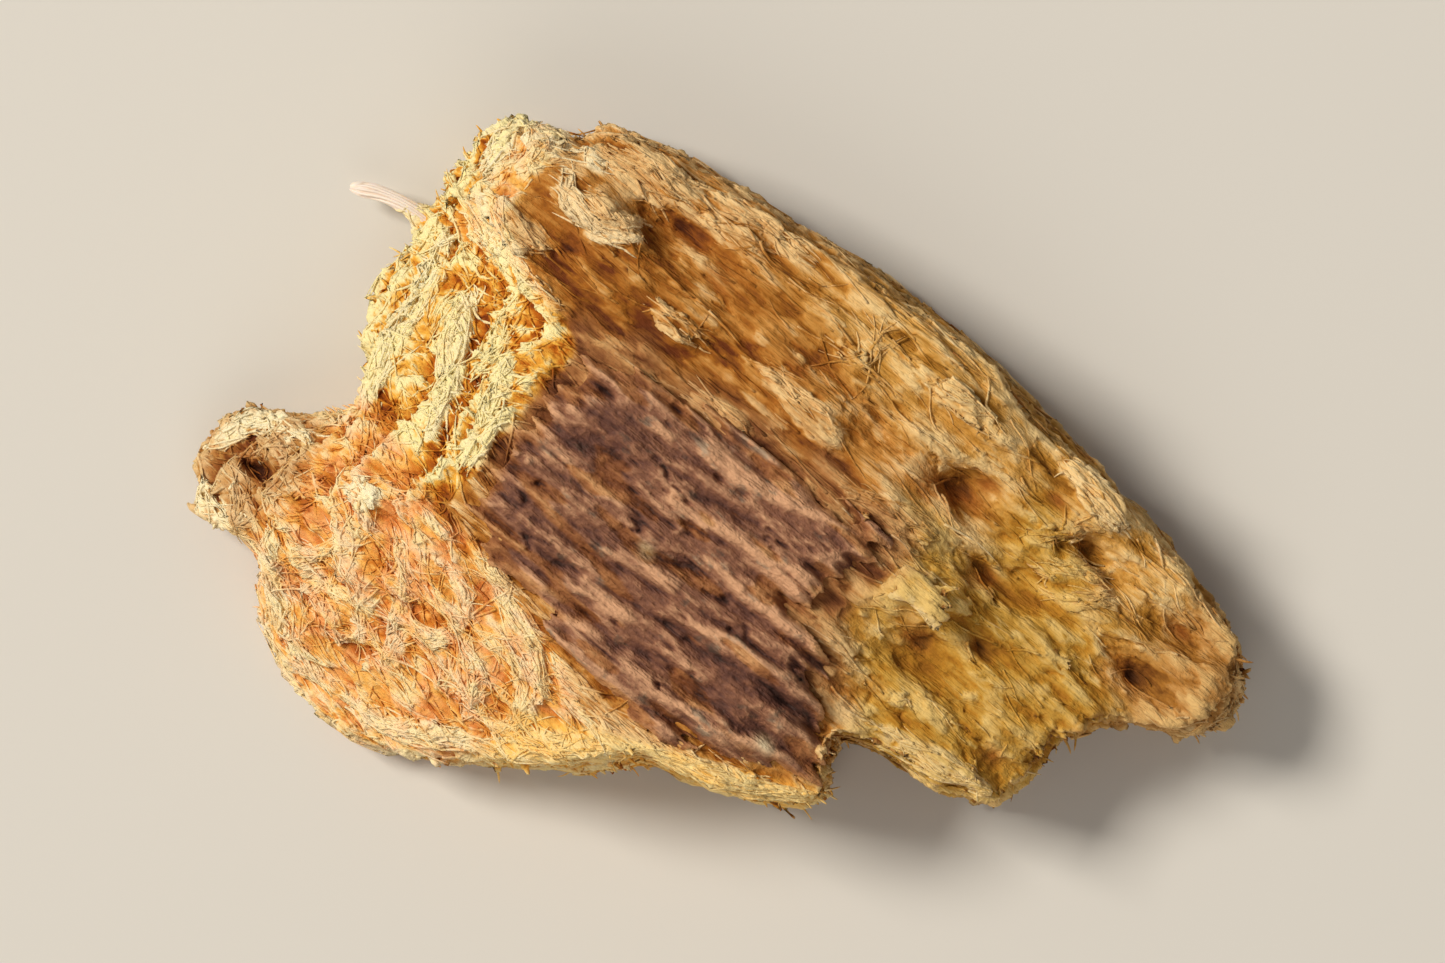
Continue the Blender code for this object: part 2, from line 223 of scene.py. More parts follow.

# Colours of each part of the inner bark, read at a level that painted shade lowers in gaps and painted
# highlight raises on crests: level and sRGB colour.
# Each part lies over those before it.
BARK_COLOURS = {
    "tan": ((0.05, "#70350c"), (0.28, "#a8661c"), (0.5, "#cc8e42"), (0.8, "#f4cd90")),
    "back": ((0.05, "#8a5812"), (0.28, "#bc822c"), (0.5, "#dca654"), (0.8, "#f4d090")),
    "nose": ((0.05, "#78480f"), (0.28, "#a87028"), (0.52, "#c48e4c"), (0.82, "#e4ba78")),
    "olive": ((0.05, "#a06818"), (0.28, "#bc8426"), (0.5, "#d0a044"), (0.8, "#ebc678")),
    "stain": ((0.05, "#48220e"), (0.28, "#7c4826"), (0.52, "#a66e3e"), (0.82, "#d8a468")),
    "side": ((0.05, "#4a240a"), (0.3, "#945c24"), (0.55, "#c28c48"), (0.85, "#ecc484")),
    "golden": ((0.05, "#7e3602"), (0.24, "#c46c0c"), (0.45, "#f4b746"), (0.64, "#fff0b2")),
    "orange": ((0.05, "#98460a"), (0.24, "#d68228"), (0.48, "#f8ba5e"), (0.8, "#ffe8b0")),
    "rim": ((0.05, "#b05a0e"), (0.25, "#ec9a30"), (0.48, "#ffc65e"), (0.8, "#ffe29c")),
    # Pits are reddish brown of their own; the near-black low end is painted shade, reached in their hollows
    # and in the hole at the tip
    "pit": ((0.0, "#2c1206"), (0.3, "#924a14"), (0.6, "#b06a20"), (0.85, "#cc9244")),
    "under": ((0.1, "#6b3f18"), (0.5, "#a8702f"), (0.85, "#c89550")),
    "bleached": ((0.1, "#d09848"), (0.45, "#fedd98"), (0.8, "#fff2ca")),
}

# The rosy patches of the orange part
ROSY = ((0.05, "#984218"), (0.24, "#d67e3e"), (0.48, "#f6b074"), (0.8, "#ffdfb6"))

# Colours of the cork, in the same way
CORK_COLOURS = {
    "skin": ((0.08, "#361c14"), (0.3, "#663e30"), (0.5, "#8e5e44"), (0.78, "#d8a47c")),
    "grey": ((0.08, "#1c1410"), (0.5, "#5f4c3e"), (0.8, "#a8937a")),
    "flaked": ((0.05, "#3a1a0c"), (0.3, "#7a4522"), (0.55, "#a96f40"), (0.85, "#d8a26c")),
    "crumb": ((0.1, "#a07848"), (0.6, "#f0dcb4")),
}

# Colours of the stray strand, from dark to pale
FIBRE_COLOURS = ((0.0, "#b97f35"), (0.7, "#e6b87c"), (0.9, "#fbe8d8"))

chance = random.Random(7)


def select_only(piece):
    bpy.ops.object.select_all(action="DESELECT")
    piece.select_set(True)
    bpy.context.view_layer.objects.active = piece


def put_in_scene(name, mesh):
    piece = bpy.data.objects.new(name, mesh)
    bpy.context.scene.collection.objects.link(piece)
    select_only(piece)
    return piece


def apply_modifier(piece, kind, **settings):
    select_only(piece)
    modifier = piece.modifiers.new(kind.lower(), kind)
    for setting, value in settings.items():
        setattr(modifier, setting, value)
    bpy.ops.object.modifier_apply(modifier=modifier.name)


def remesh(piece, voxel):
    """Everything in the piece made one closed skin of small squares."""
    select_only(piece)
    piece.data.remesh_voxel_size = voxel
    bpy.ops.object.voxel_remesh()


def pick(piece, kind, chosen):
    """Opens the piece in edit mode with only these of its vertices or edges selected."""
    bpy.ops.object.mode_set(mode="EDIT")
    bpy.ops.mesh.select_mode(type={"vertices": "VERT", "edges": "EDGE"}[kind])
    bpy.ops.mesh.select_all(action="DESELECT")
    bpy.ops.object.mode_set(mode="OBJECT")
    getattr(piece.data, kind).foreach_set("select", chosen)
    bpy.ops.object.mode_set(mode="EDIT")


def surface_of(piece):
    """The piece's surface, to be asked what is nearest to a place."""
    mesh = piece.data
    return BVHTree.FromPolygons([v.co for v in mesh.vertices], [f.vertices[:] for f in mesh.polygons])


def vertex_rows(mesh, what):
    """One row of three numbers for each vertex: its place, co, or its normal."""
    flat = np.empty(len(mesh.vertices) * 3, np.float32)
    mesh.vertices.foreach_get(what, flat)
    return flat.reshape(-1, 3).astype(np.float64)


def points_of(mesh):
    return vertex_rows(mesh, "co")


def normals_of(mesh):
    return vertex_rows(mesh, "normal")


def set_points(mesh, points):
    mesh.vertices.foreach_set("co", points.astype(np.float32).ravel())
    mesh.update()


def paint(mesh, name, values):
    """A value for each vertex, which the materials read by this name."""
    layer = mesh.attributes.new(name, "FLOAT", "POINT")
    layer.data.foreach_set("value", np.asarray(values, np.float32))


def step(low, high, values):
    """0 up to low, 1 from high on, and a smooth rise between them."""
    share = np.clip((values - low) / (high - low), 0.0, 1.0)
    return share * share * (3.0 - 2.0 * share)


def noise_at(points, size, seed):
    """Noise from -1 to 1 at each point, in lumps of this size along X, Y and Z."""
    places = points / np.array(size) + np.array((seed * 3.1, seed * 7.7, seed * 1.9))
    return np.array([noise.noise(place) for place in places.tolist()])


def off_run(points, start, end):
    """How far each point is off the straight run from start to end, in X and Y."""
    run = np.array(end) - np.array(start)
    away = points[:, :2] - start
    along = np.clip(away @ run / (run @ run), 0.0, 1.0)
    return away - along[:, None] * run


def depth_inside(points, border):
    """Distance of each point from the border, seen from above, negative outside it."""
    nearest = np.full(len(points), 1e9)
    inside = np.zeros(len(points), bool)
    for i, end in enumerate(border):
        start = border[i - 1]
        nearest = np.minimum(nearest, np.hypot(*off_run(points, start, end).T))
        if end[1] != start[1]:
            crossed = (start[1] > points[:, 1]) != (end[1] > points[:, 1])
            at_x = start[0] + (points[:, 1] - start[1]) * (end[0] - start[0]) / (end[1] - start[1])
            inside ^= crossed & (points[:, 0] < at_x)
    return np.where(inside, nearest, -nearest)


def terraces(level, soft):
    """The level in steps of 1, with soft fronts."""
    return np.floor(level) + step(soft, 1.0 - soft, level - np.floor(level))


def end_depth(points):
    """How far a point lies out on the broken left end."""
    return END_BRINK - END_SETBACK * step(1.1, 1.9, points[:, 1]) - points[:, 0]


def lobe_depth(points):
    """How far a point lies down the torn face below the cork."""
    return (points[:, 0] + 3.1) * -0.24 + (points[:, 1] + 1.35) * -0.97 - 0.02


def nose_depth(points):
    """How far a point lies past the cork, towards the nose."""
    return points[:, 0] - 1.75 - 0.35 * (points[:, 1] - 1.5)


def rim_depth(points):
    """How far a point lies out on the golden rim below the cork, negative on the cork's side."""
    return (points[:, 0] - 1.2) * 0.42 + (points[:, 1] + 1.80) * -0.91


def stray_share(points):
    """1 on the one strand that sticks far out of the left end, 0 away from it."""
    x, y = points[:, 0], points[:, 1]
    return step(-5.80, -5.90, x) * step(0.4, 0.6, y) * step(1.7, 1.5, y)


def rim_share(points):
    """1 on the golden rim below the cork, 0 away from it."""
    x, y = points[:, 0], points[:, 1]
    share = step(-0.05, 0.08, rim_depth(points)) * step(-0.5, -0.9, y)
    return share * step(-1.2, -0.6, x) * step(3.1, 2.9, x)


def spots(points, places):
    """1 at the middle of each spot, down to 0 a little outside it: ragged, and long along the grain."""
    share = np.zeros(len(points))
    for x, y, half_width, *_ in places:
        near = np.flatnonzero(np.hypot(points[:, 0] - x, points[:, 1] - y) < 3.5 * half_width)
        frayed = 0.55 * noise_at(points[near] * (1, 1, 0), (0.26, 0.12, 1.0), 31.0)
        away = np.hypot((points[near, 0] - x) / 1.25, (points[near, 1] - y) / 0.85) / half_width
        share[near] = np.maximum(share[near], np.exp(-(away + frayed) ** 2))
    return share


def patches(points, places):
    """How much darker or paler each point is for the patches that it lies in."""
    return sum(change * spots(points, ((x, y, half_width),)) for x, y, half_width, change in places)


def plain_form():
    """A smooth copy of the solid, without its facets."""
    form = put_in_scene("plain_form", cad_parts["bark_chip"].data.copy())
    form.data.materials.clear()
    form.data.transform(TO_DRAWING)
    bpy.ops.object.mode_set(mode="EDIT")
    bpy.ops.mesh.select_all(action="SELECT")
    bpy.ops.mesh.remove_doubles(threshold=0.0001)
    bpy.ops.object.mode_set(mode="OBJECT")
    remesh(form, SMOOTH_VOXEL)
    apply_modifier(form, "SMOOTH", factor=0.5, iterations=26)
    soften_hollows(form)
    lower_under_cork(form.data)
    return form


def soften_hollows(form):
    """Makes the hollows of the worn face shallow and wide, without an edge, and smooths the olive part."""
    points, normals = points_of(form.data), normals_of(form.data)
    near = np.zeros(len(points), bool)
    for x, y, half_width, depth in PITS:
        reach = 2.0 * half_width + 0.25
        near |= (np.hypot(points[:, 0] - x, points[:, 1] - y) < reach) & (depth < 0.2)
    near |= depth_inside(points, OLIVE_BORDER) > 0.1
    near &= normals[:, 2] > 0.1
    group = form.vertex_groups.new(name="hollows")
    group.add(np.flatnonzero(near).tolist(), 1.0, "REPLACE")
    apply_modifier(form, "SMOOTH", factor=0.5, iterations=90, vertex_group="hollows")
    form.vertex_groups.clear()


def strand_shape():
    """One strand as a five-sided rod along Z, cut into short lengths: each point's stop along it
    and place across it, and the faces."""
    bpy.ops.object.select_all(action="DESELECT")
    bpy.ops.mesh.primitive_cylinder_add(vertices=SIDES, radius=1.0, depth=1.0)
    rod = bpy.context.object
    ends = points_of(rod.data)[[edge.vertices[:] for edge in rod.data.edges]]
    pick(rod, "edges", np.abs(ends[:, 0, 2] - ends[:, 1, 2]) > 0.5)
    bpy.ops.mesh.subdivide(number_cuts=STOPS - 2)
    bpy.ops.object.mode_set(mode="OBJECT")
    points = points_of(rod.data)
    faces = [face.vertices[:] for face in rod.data.polygons]
    stop = np.rint((points[:, 2] + 0.5) * (STOPS - 1)).astype(int)
    across = points[:, :2].copy()
    bpy.data.objects.remove(rod)
    return stop, across, faces


def nearest_on(surface, place):
    found, normal, _, _ = surface.find_nearest(place)
    return found, normal


def lay_route(surface, start, heading, length, wander, lifts):
    """A strand's line over the surface from start, with the surface's normal at each stop."""
    place, normal = nearest_on(surface, start)
    points, normals = [], []
    for lift in lifts:
        heading = (heading - normal * heading.dot(normal)).normalized()
        points.append(place + normal * lift)
        normals.append(normal)
        heading.rotate(Matrix.Rotation(chance.gauss(0.0, wander), 3, normal))
        place, normal = nearest_on(surface, place + heading * (length / (STOPS - 1)))
    return np.array(points), np.array(normals)


def strands_mesh(name, shape, strands):
    """All the strands as one mesh: each is the plain rod, bent along its own line."""
    stop, across, faces = shape
    points, all_faces = [], []
    for line, normals, widths, heights, _ in strands:
        tangents = np.gradient(line, axis=0)
        tangents /= np.linalg.norm(tangents, axis=1)[:, None] + 1e-9
        sides = np.cross(normals, tangents)
        sides /= np.linalg.norm(sides, axis=1)[:, None] + 1e-9
        ups = np.cross(tangents, sides)
        out = line[stop] + sides[stop] * (across[:, :1] * widths[stop][:, None])
        out = out + ups[stop] * (across[:, 1:] * heights[stop][:, None])
        first = len(stop) * len(points)
        all_faces += [[first + corner for corner in face] for face in faces]
        points.append(out)
    mesh = bpy.data.meshes.new(name)
    mesh.from_pydata(np.concatenate(points).tolist(), [], all_faces)
    mesh.update()
    return mesh


def at_each_stop(direction):
    return np.repeat(np.array(direction)[None, :], STOPS, axis=0)


def taper(blunt):
    """Width at each stop as a share of the widest: pointed ends, or blunt ones near 1."""
    share = np.linspace(-1.0, 1.0, STOPS)
    rounded = np.sqrt(np.clip(1.0 - share ** 2, 0.0, 1.0))
    return np.maximum(blunt * (np.abs(share) < 0.99) + (1.0 - blunt) * rounded, 0.03)


def zone_at(place, normal):
    """The part of the chip that a point of its surface belongs to."""
    here = np.array(place)[None, :]
    end, lobe = end_depth(here)[0], lobe_depth(here)[0]
    if normal.z < -0.5 or place.z < LOWEST_STRAND:
        return "bare"
    if depth_inside(here, CORK_BORDER)[0] > WELL_UNDER_CORK:
        return "bare"
    if normal.z < 0.40:
        return "break" if abs(normal.x) > 0.62 else "side"
    if end > 0.0 and end > lobe:
        return "end"
    if lobe > 0.0:
        return "lobe"
    return "nose" if nose_depth(here)[0] > 0.0 else "worn"


def heading_at(place, zone):
    """Which way a strand runs here: along the grain, or turned from it as its neighbours are."""
    shared, alone = HABITS[zone][:2]
    swirl = 2.0 * noise.noise(Vector((place.x / 1.1, place.y / 0.8, 3.0)))
    heading = Vector((chance.choice((-1.0, 1.0)), 0.0, 0.0))
    axis = "Y" if zone == "side" else "Z"
    heading.rotate(Matrix.Rotation(shared * swirl + chance.gauss(0.0, alone), 3, axis))
    return heading


def shade_at(place, zone, spread):
    """The shade of a strand that starts here: neighbours are alike, and the torn end is deepest."""
    nearby = noise.noise(Vector((place.x / 0.55, place.y / 0.28, place.z / 0.4)))
    middle = {"end": 0.34, "lobe": 0.46}.get(zone, 0.5)
    return min(max(middle + 0.75 * nearby + chance.gauss(0.0, spread), 0.0), 1.0)


def strands_for(surface, place, normal):
    """The strands that grow at this point of the surface: none where it is bare, one along it
    elsewhere, and a few broken ends where it crosses the grain."""
    zone = zone_at(place, normal)
    if zone == "bare":
        return []
    if zone == "break":
        return [stub_for(place, normal) for _ in range(2)]
    heading = heading_at(place, zone)
    shortest, longest, wander = HABITS[zone][2:]
    length, width = chance.uniform(shortest, longest), chance.uniform(0.022, 0.058)
    flat = chance.uniform(0.6, 1.0)
    depth = {"worn": 0.65, "nose": 0.80}.get(zone, 0.35)
    sunk = -width * flat * (depth + chance.uniform(-0.3, 0.3))
    lifts = [sunk + width * 0.4 * chance.uniform(-1.0, 1.0) for _ in range(STOPS)]
    line, normals = lay_route(surface, place, heading, length, wander, lifts)
    widths = width * taper(chance.uniform(0.2, 0.7))
    return [(line, normals, widths, widths * flat, shade_at(place, zone, 0.16))]


def drop_on(surface, x, y):
    """The top of the surface at this place, and the surface's normal there."""
    hit, normal, _, _ = surface.ray_cast(Vector((x, y, ABOVE_ALL)), Vector((0.0, 0.0, -1.0)))
    if hit is None:
        hit, normal, _, _ = surface.find_nearest(Vector((x, y, 2.0)))
    return hit, normal


def smooth_curve(places, count):
    """Points along a smooth curve through these places."""
    knots = [Vector(place) for place in places]
    knots = [knots[0] * 2 - knots[1]] + knots + [knots[-1] * 2 - knots[-2]]
    curve = []
    for share in np.linspace(0.0, len(places) - 1.0, count):
        first = min(int(share), len(places) - 2)
        t = share - first
        a, b, c, d = knots[first:first + 4]
        bend = (c - a) * t + (a * 2 - b * 5 + c * 4 - d) * t ** 2 + (b * 3 - a - c * 3 + d) * t ** 3
        curve.append(b + bend / 2)
    return curve


def bundle(surface, half_width, shade, places):
    """A flat bundle of fibres, side by side over a core, along a smooth curve through these places."""
    curve = smooth_curve(places, CURVE_POINTS)
    drops = [drop_on(surface, x, y) for x, y in curve]
    line = np.array([hit for hit, _ in drops])
    normals = np.array([normal for _, normal in drops])
    line[:, 2] = np.convolve(np.pad(line[:, 2], 4, "edge"), np.full(9, 1 / 9), "valid")
    sides = np.cross(np.gradient(line, axis=0), normals)
    sides /= np.linalg.norm(sides, axis=1)[:, None] + 1e-9
    middle = CURVE_POINTS // 2
    worn = zone_at(Vector(line[middle]), Vector(normals[middle])) in ("worn", "nose")
    height, least = (0.22, 0.55) if worn else (0.42, 0.15)
    last_point = CURVE_POINTS - 1
    core = np.linspace(0, last_point, STOPS).astype(int)
    widths = half_width * taper(0.2)
    strands = [(line[core], normals[core], 0.9 * widths, height * widths, shade)]
    lanes = max(int(round(2.0 * half_width / FIBRE_PITCH)), 2)
    for lane in np.linspace(-1.0, 1.0, lanes + 1):
        start, last = chance.uniform(-0.10, 0.20), chance.uniform(0.80, 1.05)
        while start < last - 0.15:
            end = min(start + chance.uniform(0.35, 0.9), last)
            shares = np.clip(np.linspace(start, end, STOPS), 0.0, 1.0) * last_point
            narrow = np.sqrt(np.clip(1.0 - (2.0 * shares / last_point - 1.0) ** 2, least, 1.0))
            across = narrow * (lane + 0.12 * np.sin(shares * 0.35 + chance.uniform(0.0, 6.3)))
            rise = 0.9 * height * narrow * np.sqrt(np.maximum(1.1 - lane ** 2, 0.0))
            rise = rise + chance.uniform(-0.15, 0.05)
            stops, side, up = (
                np.stack([np.interp(shares, range(CURVE_POINTS), row) for row in rows.T], axis=1)
                for rows in (line, sides, normals)
            )
            stops = stops + side * (across * half_width)[:, None] + up * (rise * half_width)[:, None]
            stops = stops + np.linspace(0.0, 0.001, STOPS)[:, None]
            widths = 0.55 * FIBRE_PITCH * chance.uniform(0.9, 1.25) * taper(chance.uniform(0.3, 0.7))
            own_shade = min(shade + chance.gauss(0.0, 0.08), max(shade, 1.0))
            strands.append((stops, up, widths, widths, own_shade))
            start = end + chance.uniform(-0.15, 0.02)
    return strands


def knob(surface, x, y, half_width):
    """A pale lump of short torn fibres that has stayed on the face."""
    hit, normal = drop_on(surface, x, y)
    strands = []
    for _ in range(KNOB_FIBRES):
        heading = Vector((1.0, 0.0, 0.0))
        heading.rotate(Matrix.Rotation(chance.gauss(0.2, 0.25), 3, "Z"))
        aside = Vector((chance.gauss(0.0, 0.35), chance.gauss(0.0, 0.30), chance.uniform(-0.15, 0.12)))
        middle = np.array(hit + aside * half_width)
        reach = np.linspace(-1.0, 1.0, STOPS)[:, None] * half_width * chance.uniform(0.4, 0.8)
        widths = max(half_width * chance.uniform(0.14, 0.26), 0.03) * taper(0.3)
        up = at_each_stop(normal)
        bow = np.array(normal) * half_width * 0.15 * (1.0 - np.linspace(-1.0, 1.0, STOPS)[:, None] ** 2)
        shade = chance.uniform(0.85, 1.15)
        strands.append((middle + reach * np.array(heading) + bow, up, widths, widths * 0.8, shade))
    return strands


def stub_for(place, normal):
    """A strand's broken end, which stands out of a side that crosses the grain."""
    out = Vector((math.copysign(1.0, normal.x), chance.gauss(0.0, 0.25), chance.gauss(0.0, 0.20)))
    out.normalize()
    reach = chance.uniform(0.0, 0.13)
    width = chance.uniform(0.020, 0.050)
    aside = Vector((0.0, chance.gauss(0.0, 0.06), chance.gauss(0.0, 0.06)))
    start = np.array(place + aside - out * 0.25)
    line = start + np.linspace(0.0, 0.25 + reach, STOPS)[:, None] * np.array(out)
    widths = width * taper(0.5)
    widths[:3] = width
    heights = widths * chance.uniform(0.5, 1.0)
    return line, at_each_stop(beside(out)), widths, heights, chance.random()


def beside(out):
    """A direction square to this one, and nearly square to the surface."""
    return out.cross(Vector((0.0, 1.0, 0.3))).normalized()


def grow_strands(form, surface):
    """Strands all over the form. Its faces are alike in size, so it is evenly covered."""
    faces = form.data.polygons
    strands = []
    for _ in range(STRAND_PLACES):
        face = faces[chance.randrange(len(faces))]
        strands += strands_for(surface, Vector(face.center), Vector(face.normal))
    for cord in BUNDLES:
        strands += bundle(surface, *cord)
    for lump in KNOBS:
        strands += knob(surface, *lump)
    return strands


def torn_layers(points, depth, spacing, seed):
    """Height of a face torn step by step through thin layers, each with a fringe of fibre ends."""
    fringe = 0.10 * noise_at(points, (0.45, 0.055, 0.10), seed)
    sway = 0.45 * noise_at(points, (0.8, 0.8, 0.8), seed + 1.0)
    phase = (depth + sway + fringe) / spacing
    share = phase - np.floor(phase)
    return share * step(1.0, 0.80, share) - 0.40


def rough_skin(mesh):
    """The finest relief that the mesh can hold: torn layers on the broken faces, slits and scales
    on the worn one."""
    points, normals = points_of(mesh), normals_of(mesh)
    end, lobe = end_depth(points), lobe_depth(points)
    torn = step(-0.1, 0.2, np.maximum(end, lobe))
    upward = step(0.2, 0.6, normals[:, 2])
    under = step(-0.2, -0.7, normals[:, 2])
    side = (1.0 - upward) * (1.0 - under)
    end_layers, lobe_layers = torn_layers(points, end, 0.62, 41.0), torn_layers(points, lobe, 0.50, 51.0)
    layers = np.where(end > lobe, end_layers, lobe_layers)
    level = 2.6 * noise_at(points, (0.9, 0.24, 0.3), 21.0) + 0.5 * noise_at(points, (0.30, 0.09, 0.1), 22.0)
    scales = terraces(level, 0.35)
    seam = noise_at(points, (1.1, 0.17, 0.25), 4.0)
    cracks = step(0.10, 0.02, np.abs(seam)) * step(-0.1, 0.25, noise_at(points, (0.7, 0.4, 0.5), 5.0))
    grain = noise_at(points, (0.60, 0.055, 0.055), 1.0)
    crumb = noise_at(points, (0.20, 0.08, 0.08), 2.0)
    grit = noise_at(points, (0.08, 0.05, 0.05), 7.0)
    push = 0.018 * grain + 0.014 * crumb * (0.4 + torn) + 0.010 * grit
    push += torn * upward * (0.11 + 0.07 * step(-0.1, 0.1, end - lobe)) * layers
    push += (1.0 - torn) * upward * 0.035 * scales
    strata = points[:, 2] / 0.27 + 0.9 * noise_at(points, (0.9, 0.6, 0.35), 33.0)
    strata += 0.25 * noise_at(points, (0.12, 0.12, 0.5), 34.0)
    ledge = strata - np.floor(strata)
    push += side * (0.030 * scales + 0.10 * (ledge * step(1.0, 0.82, ledge) - 0.4))
    push -= (0.10 * side + 0.045 * (1.0 - torn) * upward) * cracks
    spongy = 0.055 * noise_at(points, (0.42, 0.28, 0.3), 71.0)
    spongy += 0.03 * noise_at(points, (0.2, 0.14, 0.15), 72.0)
    push += spongy * step(-0.2, 0.3, depth_inside(points, OLIVE_BORDER)) * upward
    push *= (1.0 - under) * (1.0 - 0.5 * rim_share(points)) * (1.0 - stray_share(points))
    moved = points + normals * push[:, None]
    for x, y, half_width, depth in PITS:
        moved[:, 2] -= upward * depth * spots(points, ((x, y, half_width),))
    moved[:, 2] += under * 0.022 * (1.0 + noise_at(points, (2.5, 0.12, 1.0), 6.0))
    moved[:, 2] = np.maximum(moved[:, 2], 0.0)
    set_points(mesh, moved)


def thin_where_hidden(skin):
    """Fewer, larger triangles on the flat inner face and under the cork, which leaves more for the rest."""
    mesh = skin.data
    points, normals = points_of(mesh), normals_of(mesh)
    hidden = (normals[:, 2] < -0.9) & (points[:, 2] < 0.1)
    hidden |= (normals[:, 2] > 0.7) & (depth_inside(points, CORK_BORDER) > WELL_UNDER_CORK)
    group = skin.vertex_groups.new(name="hidden")
    group.add(np.flatnonzero(hidden).tolist(), 1.0, "REPLACE")
    total, inside = count_triangles(mesh), 2 * int(hidden.sum())
    ratio = (total - max(inside - HIDDEN_TRIANGLES, 0)) / total
    apply_modifier(skin, "DECIMATE", ratio=ratio, vertex_group="hidden")
    skin.vertex_groups.clear()


def count_triangles(mesh):
    return sum(len(face.vertices) - 2 for face in mesh.polygons)


def lower_under_cork(mesh):
    """Takes the cork off, down to the tan layer that it lies on: its own plate replaces it."""
    points, normals = points_of(mesh), normals_of(mesh)
    covered = step(-0.50, -0.30, depth_inside(points, CORK_BORDER)) * step(0.2, 0.5, normals[:, 2])
    points[:, 2] -= covered * np.maximum(points[:, 2] - crown(points) - 0.02, 0.0)
    set_points(mesh, points)


def recess_of(mesh, rounds, reach):
    """How deep each vertex lies in a hollow, from -1 on a crest to 1 in a gap of this reach."""
    points, normals = points_of(mesh), normals_of(mesh)
    ends = np.empty(len(mesh.edges) * 2, np.int32)
    mesh.edges.foreach_get("vertices", ends)
    first, second = ends[0::2], ends[1::2]
    count = np.bincount(ends, minlength=len(points)).astype(float)
    smooth = points.copy()
    for _ in range(rounds):
        total = np.zeros_like(smooth)
        for axis in range(3):
            total[:, axis] = np.bincount(first, smooth[second, axis], len(points))
            total[:, axis] += np.bincount(second, smooth[first, axis], len(points))
        smooth = 0.4 * smooth + 0.6 * total / count[:, None]
    return np.clip(((smooth - points) * normals).sum(axis=1) / reach, -1.0, 1.0)


def strand_tones(mesh, strands):
    """Each strand's own shade, on the part of the skin that it makes."""
    between = np.linspace(0.0, STOPS - 1.0, 3 * STOPS)
    stops, widths, shades = [], [], []
    for line, _, wide, _, shade in strands:
        axes = [np.interp(between, np.arange(STOPS), line[:, axis]) for axis in range(3)]
        stops.append(np.stack(axes, axis=1))
        widths.append(np.interp(between, np.arange(STOPS), wide))
        shades.append(np.full(len(between), shade))
    stops, widths, shades = (np.concatenate(parts) for parts in (stops, widths, shades))
    tree = KDTree(len(stops))
    for i, place in enumerate(stops):
        tree.insert(place, i)
    tree.balance()
    tones = np.empty(len(mesh.vertices))
    for i, place in enumerate(points_of(mesh)):
        away, found = min((away - widths[found], found) for _, found, away in tree.find_n(place, 8))
        share = min(max(1.0 - away / 0.05, 0.0), 1.0)
        tones[i] = 0.5 + (shades[found] - 0.5) * share
    return tones


def brink_highlight_share(points, surface):
    """1 along the brink of the torn faces, where a painted highlight makes the thin edge paler, and 0 away
    from it.
    """
    upright = np.array([nearest_on(surface, place)[1].z for place in points.tolist()])
    torn = step(0.0, 0.2, np.maximum(end_depth(points), lobe_depth(points)))
    return torn * step(-0.05, 0.10, upright) * step(0.60, 0.40, upright) * step(0.2, 0.5, points[:, 2])


def bark_skin(form, surface, strands):
    """The whole chip but its cork: tan layer, torn faces, layered sides and inner face."""
    skin = put_in_scene("bark_skin", form.data.copy())
    put_in_scene("strands", strands_mesh("strands", strand_shape(), strands))
    skin.select_set(True)
    bpy.context.view_layer.objects.active = skin
    bpy.ops.object.join()
    # The form and its strands become one skin, which is then thinned to what its file can hold
    remesh(skin, SKIN_VOXEL)
    apply_modifier(skin, "SMOOTH", factor=0.4, iterations=1)
    rough_skin(skin.data)
    thin_where_hidden(skin)
    ratio = min(1.0, SKIN_TRIANGLES / count_triangles(skin.data))
    apply_modifier(skin, "DECIMATE", ratio=ratio, use_collapse_triangulate=True)
    points, normals = points_of(skin.data), normals_of(skin.data)
    points[:, 2] = np.maximum(points[:, 2], 0.0)
    set_points(skin.data, points)
    tones = strand_tones(skin.data, strands)
    tones += 0.30 * noise_at(points, (0.9, 0.24, 0.3), 21.0) * np.clip(1.6 - tones, 0.3, 1.0)
    tones = np.where(tones > 1.0, tones, np.minimum(tones + patches(points, BARK_PATCHES), 1.0))
    # A painted highlight along the brink of the torn faces; the stray strand is pale of its own
    tones += 0.45 * brink_highlight_share(points, surface) + stray_share(points)
    # How deep each point lies in a gap: the materials paint shade into gaps and highlight onto crests from
    # it
    paint(skin.data, "recess", recess_of(skin.data, 40, 0.09))
    paint_tones(skin.data, tones)
    paint_zones(skin.data, points, normals)
    return skin


def paint_tones(mesh, tones):
    """Shades from 0 to 1, and bleached where they are above 1."""
    paint(mesh, "tone", np.clip(tones, 0.0, 1.0))
    paint(mesh, "bleached", np.clip(BLEACHING * (tones - 1.0), 0.0, 1.0))


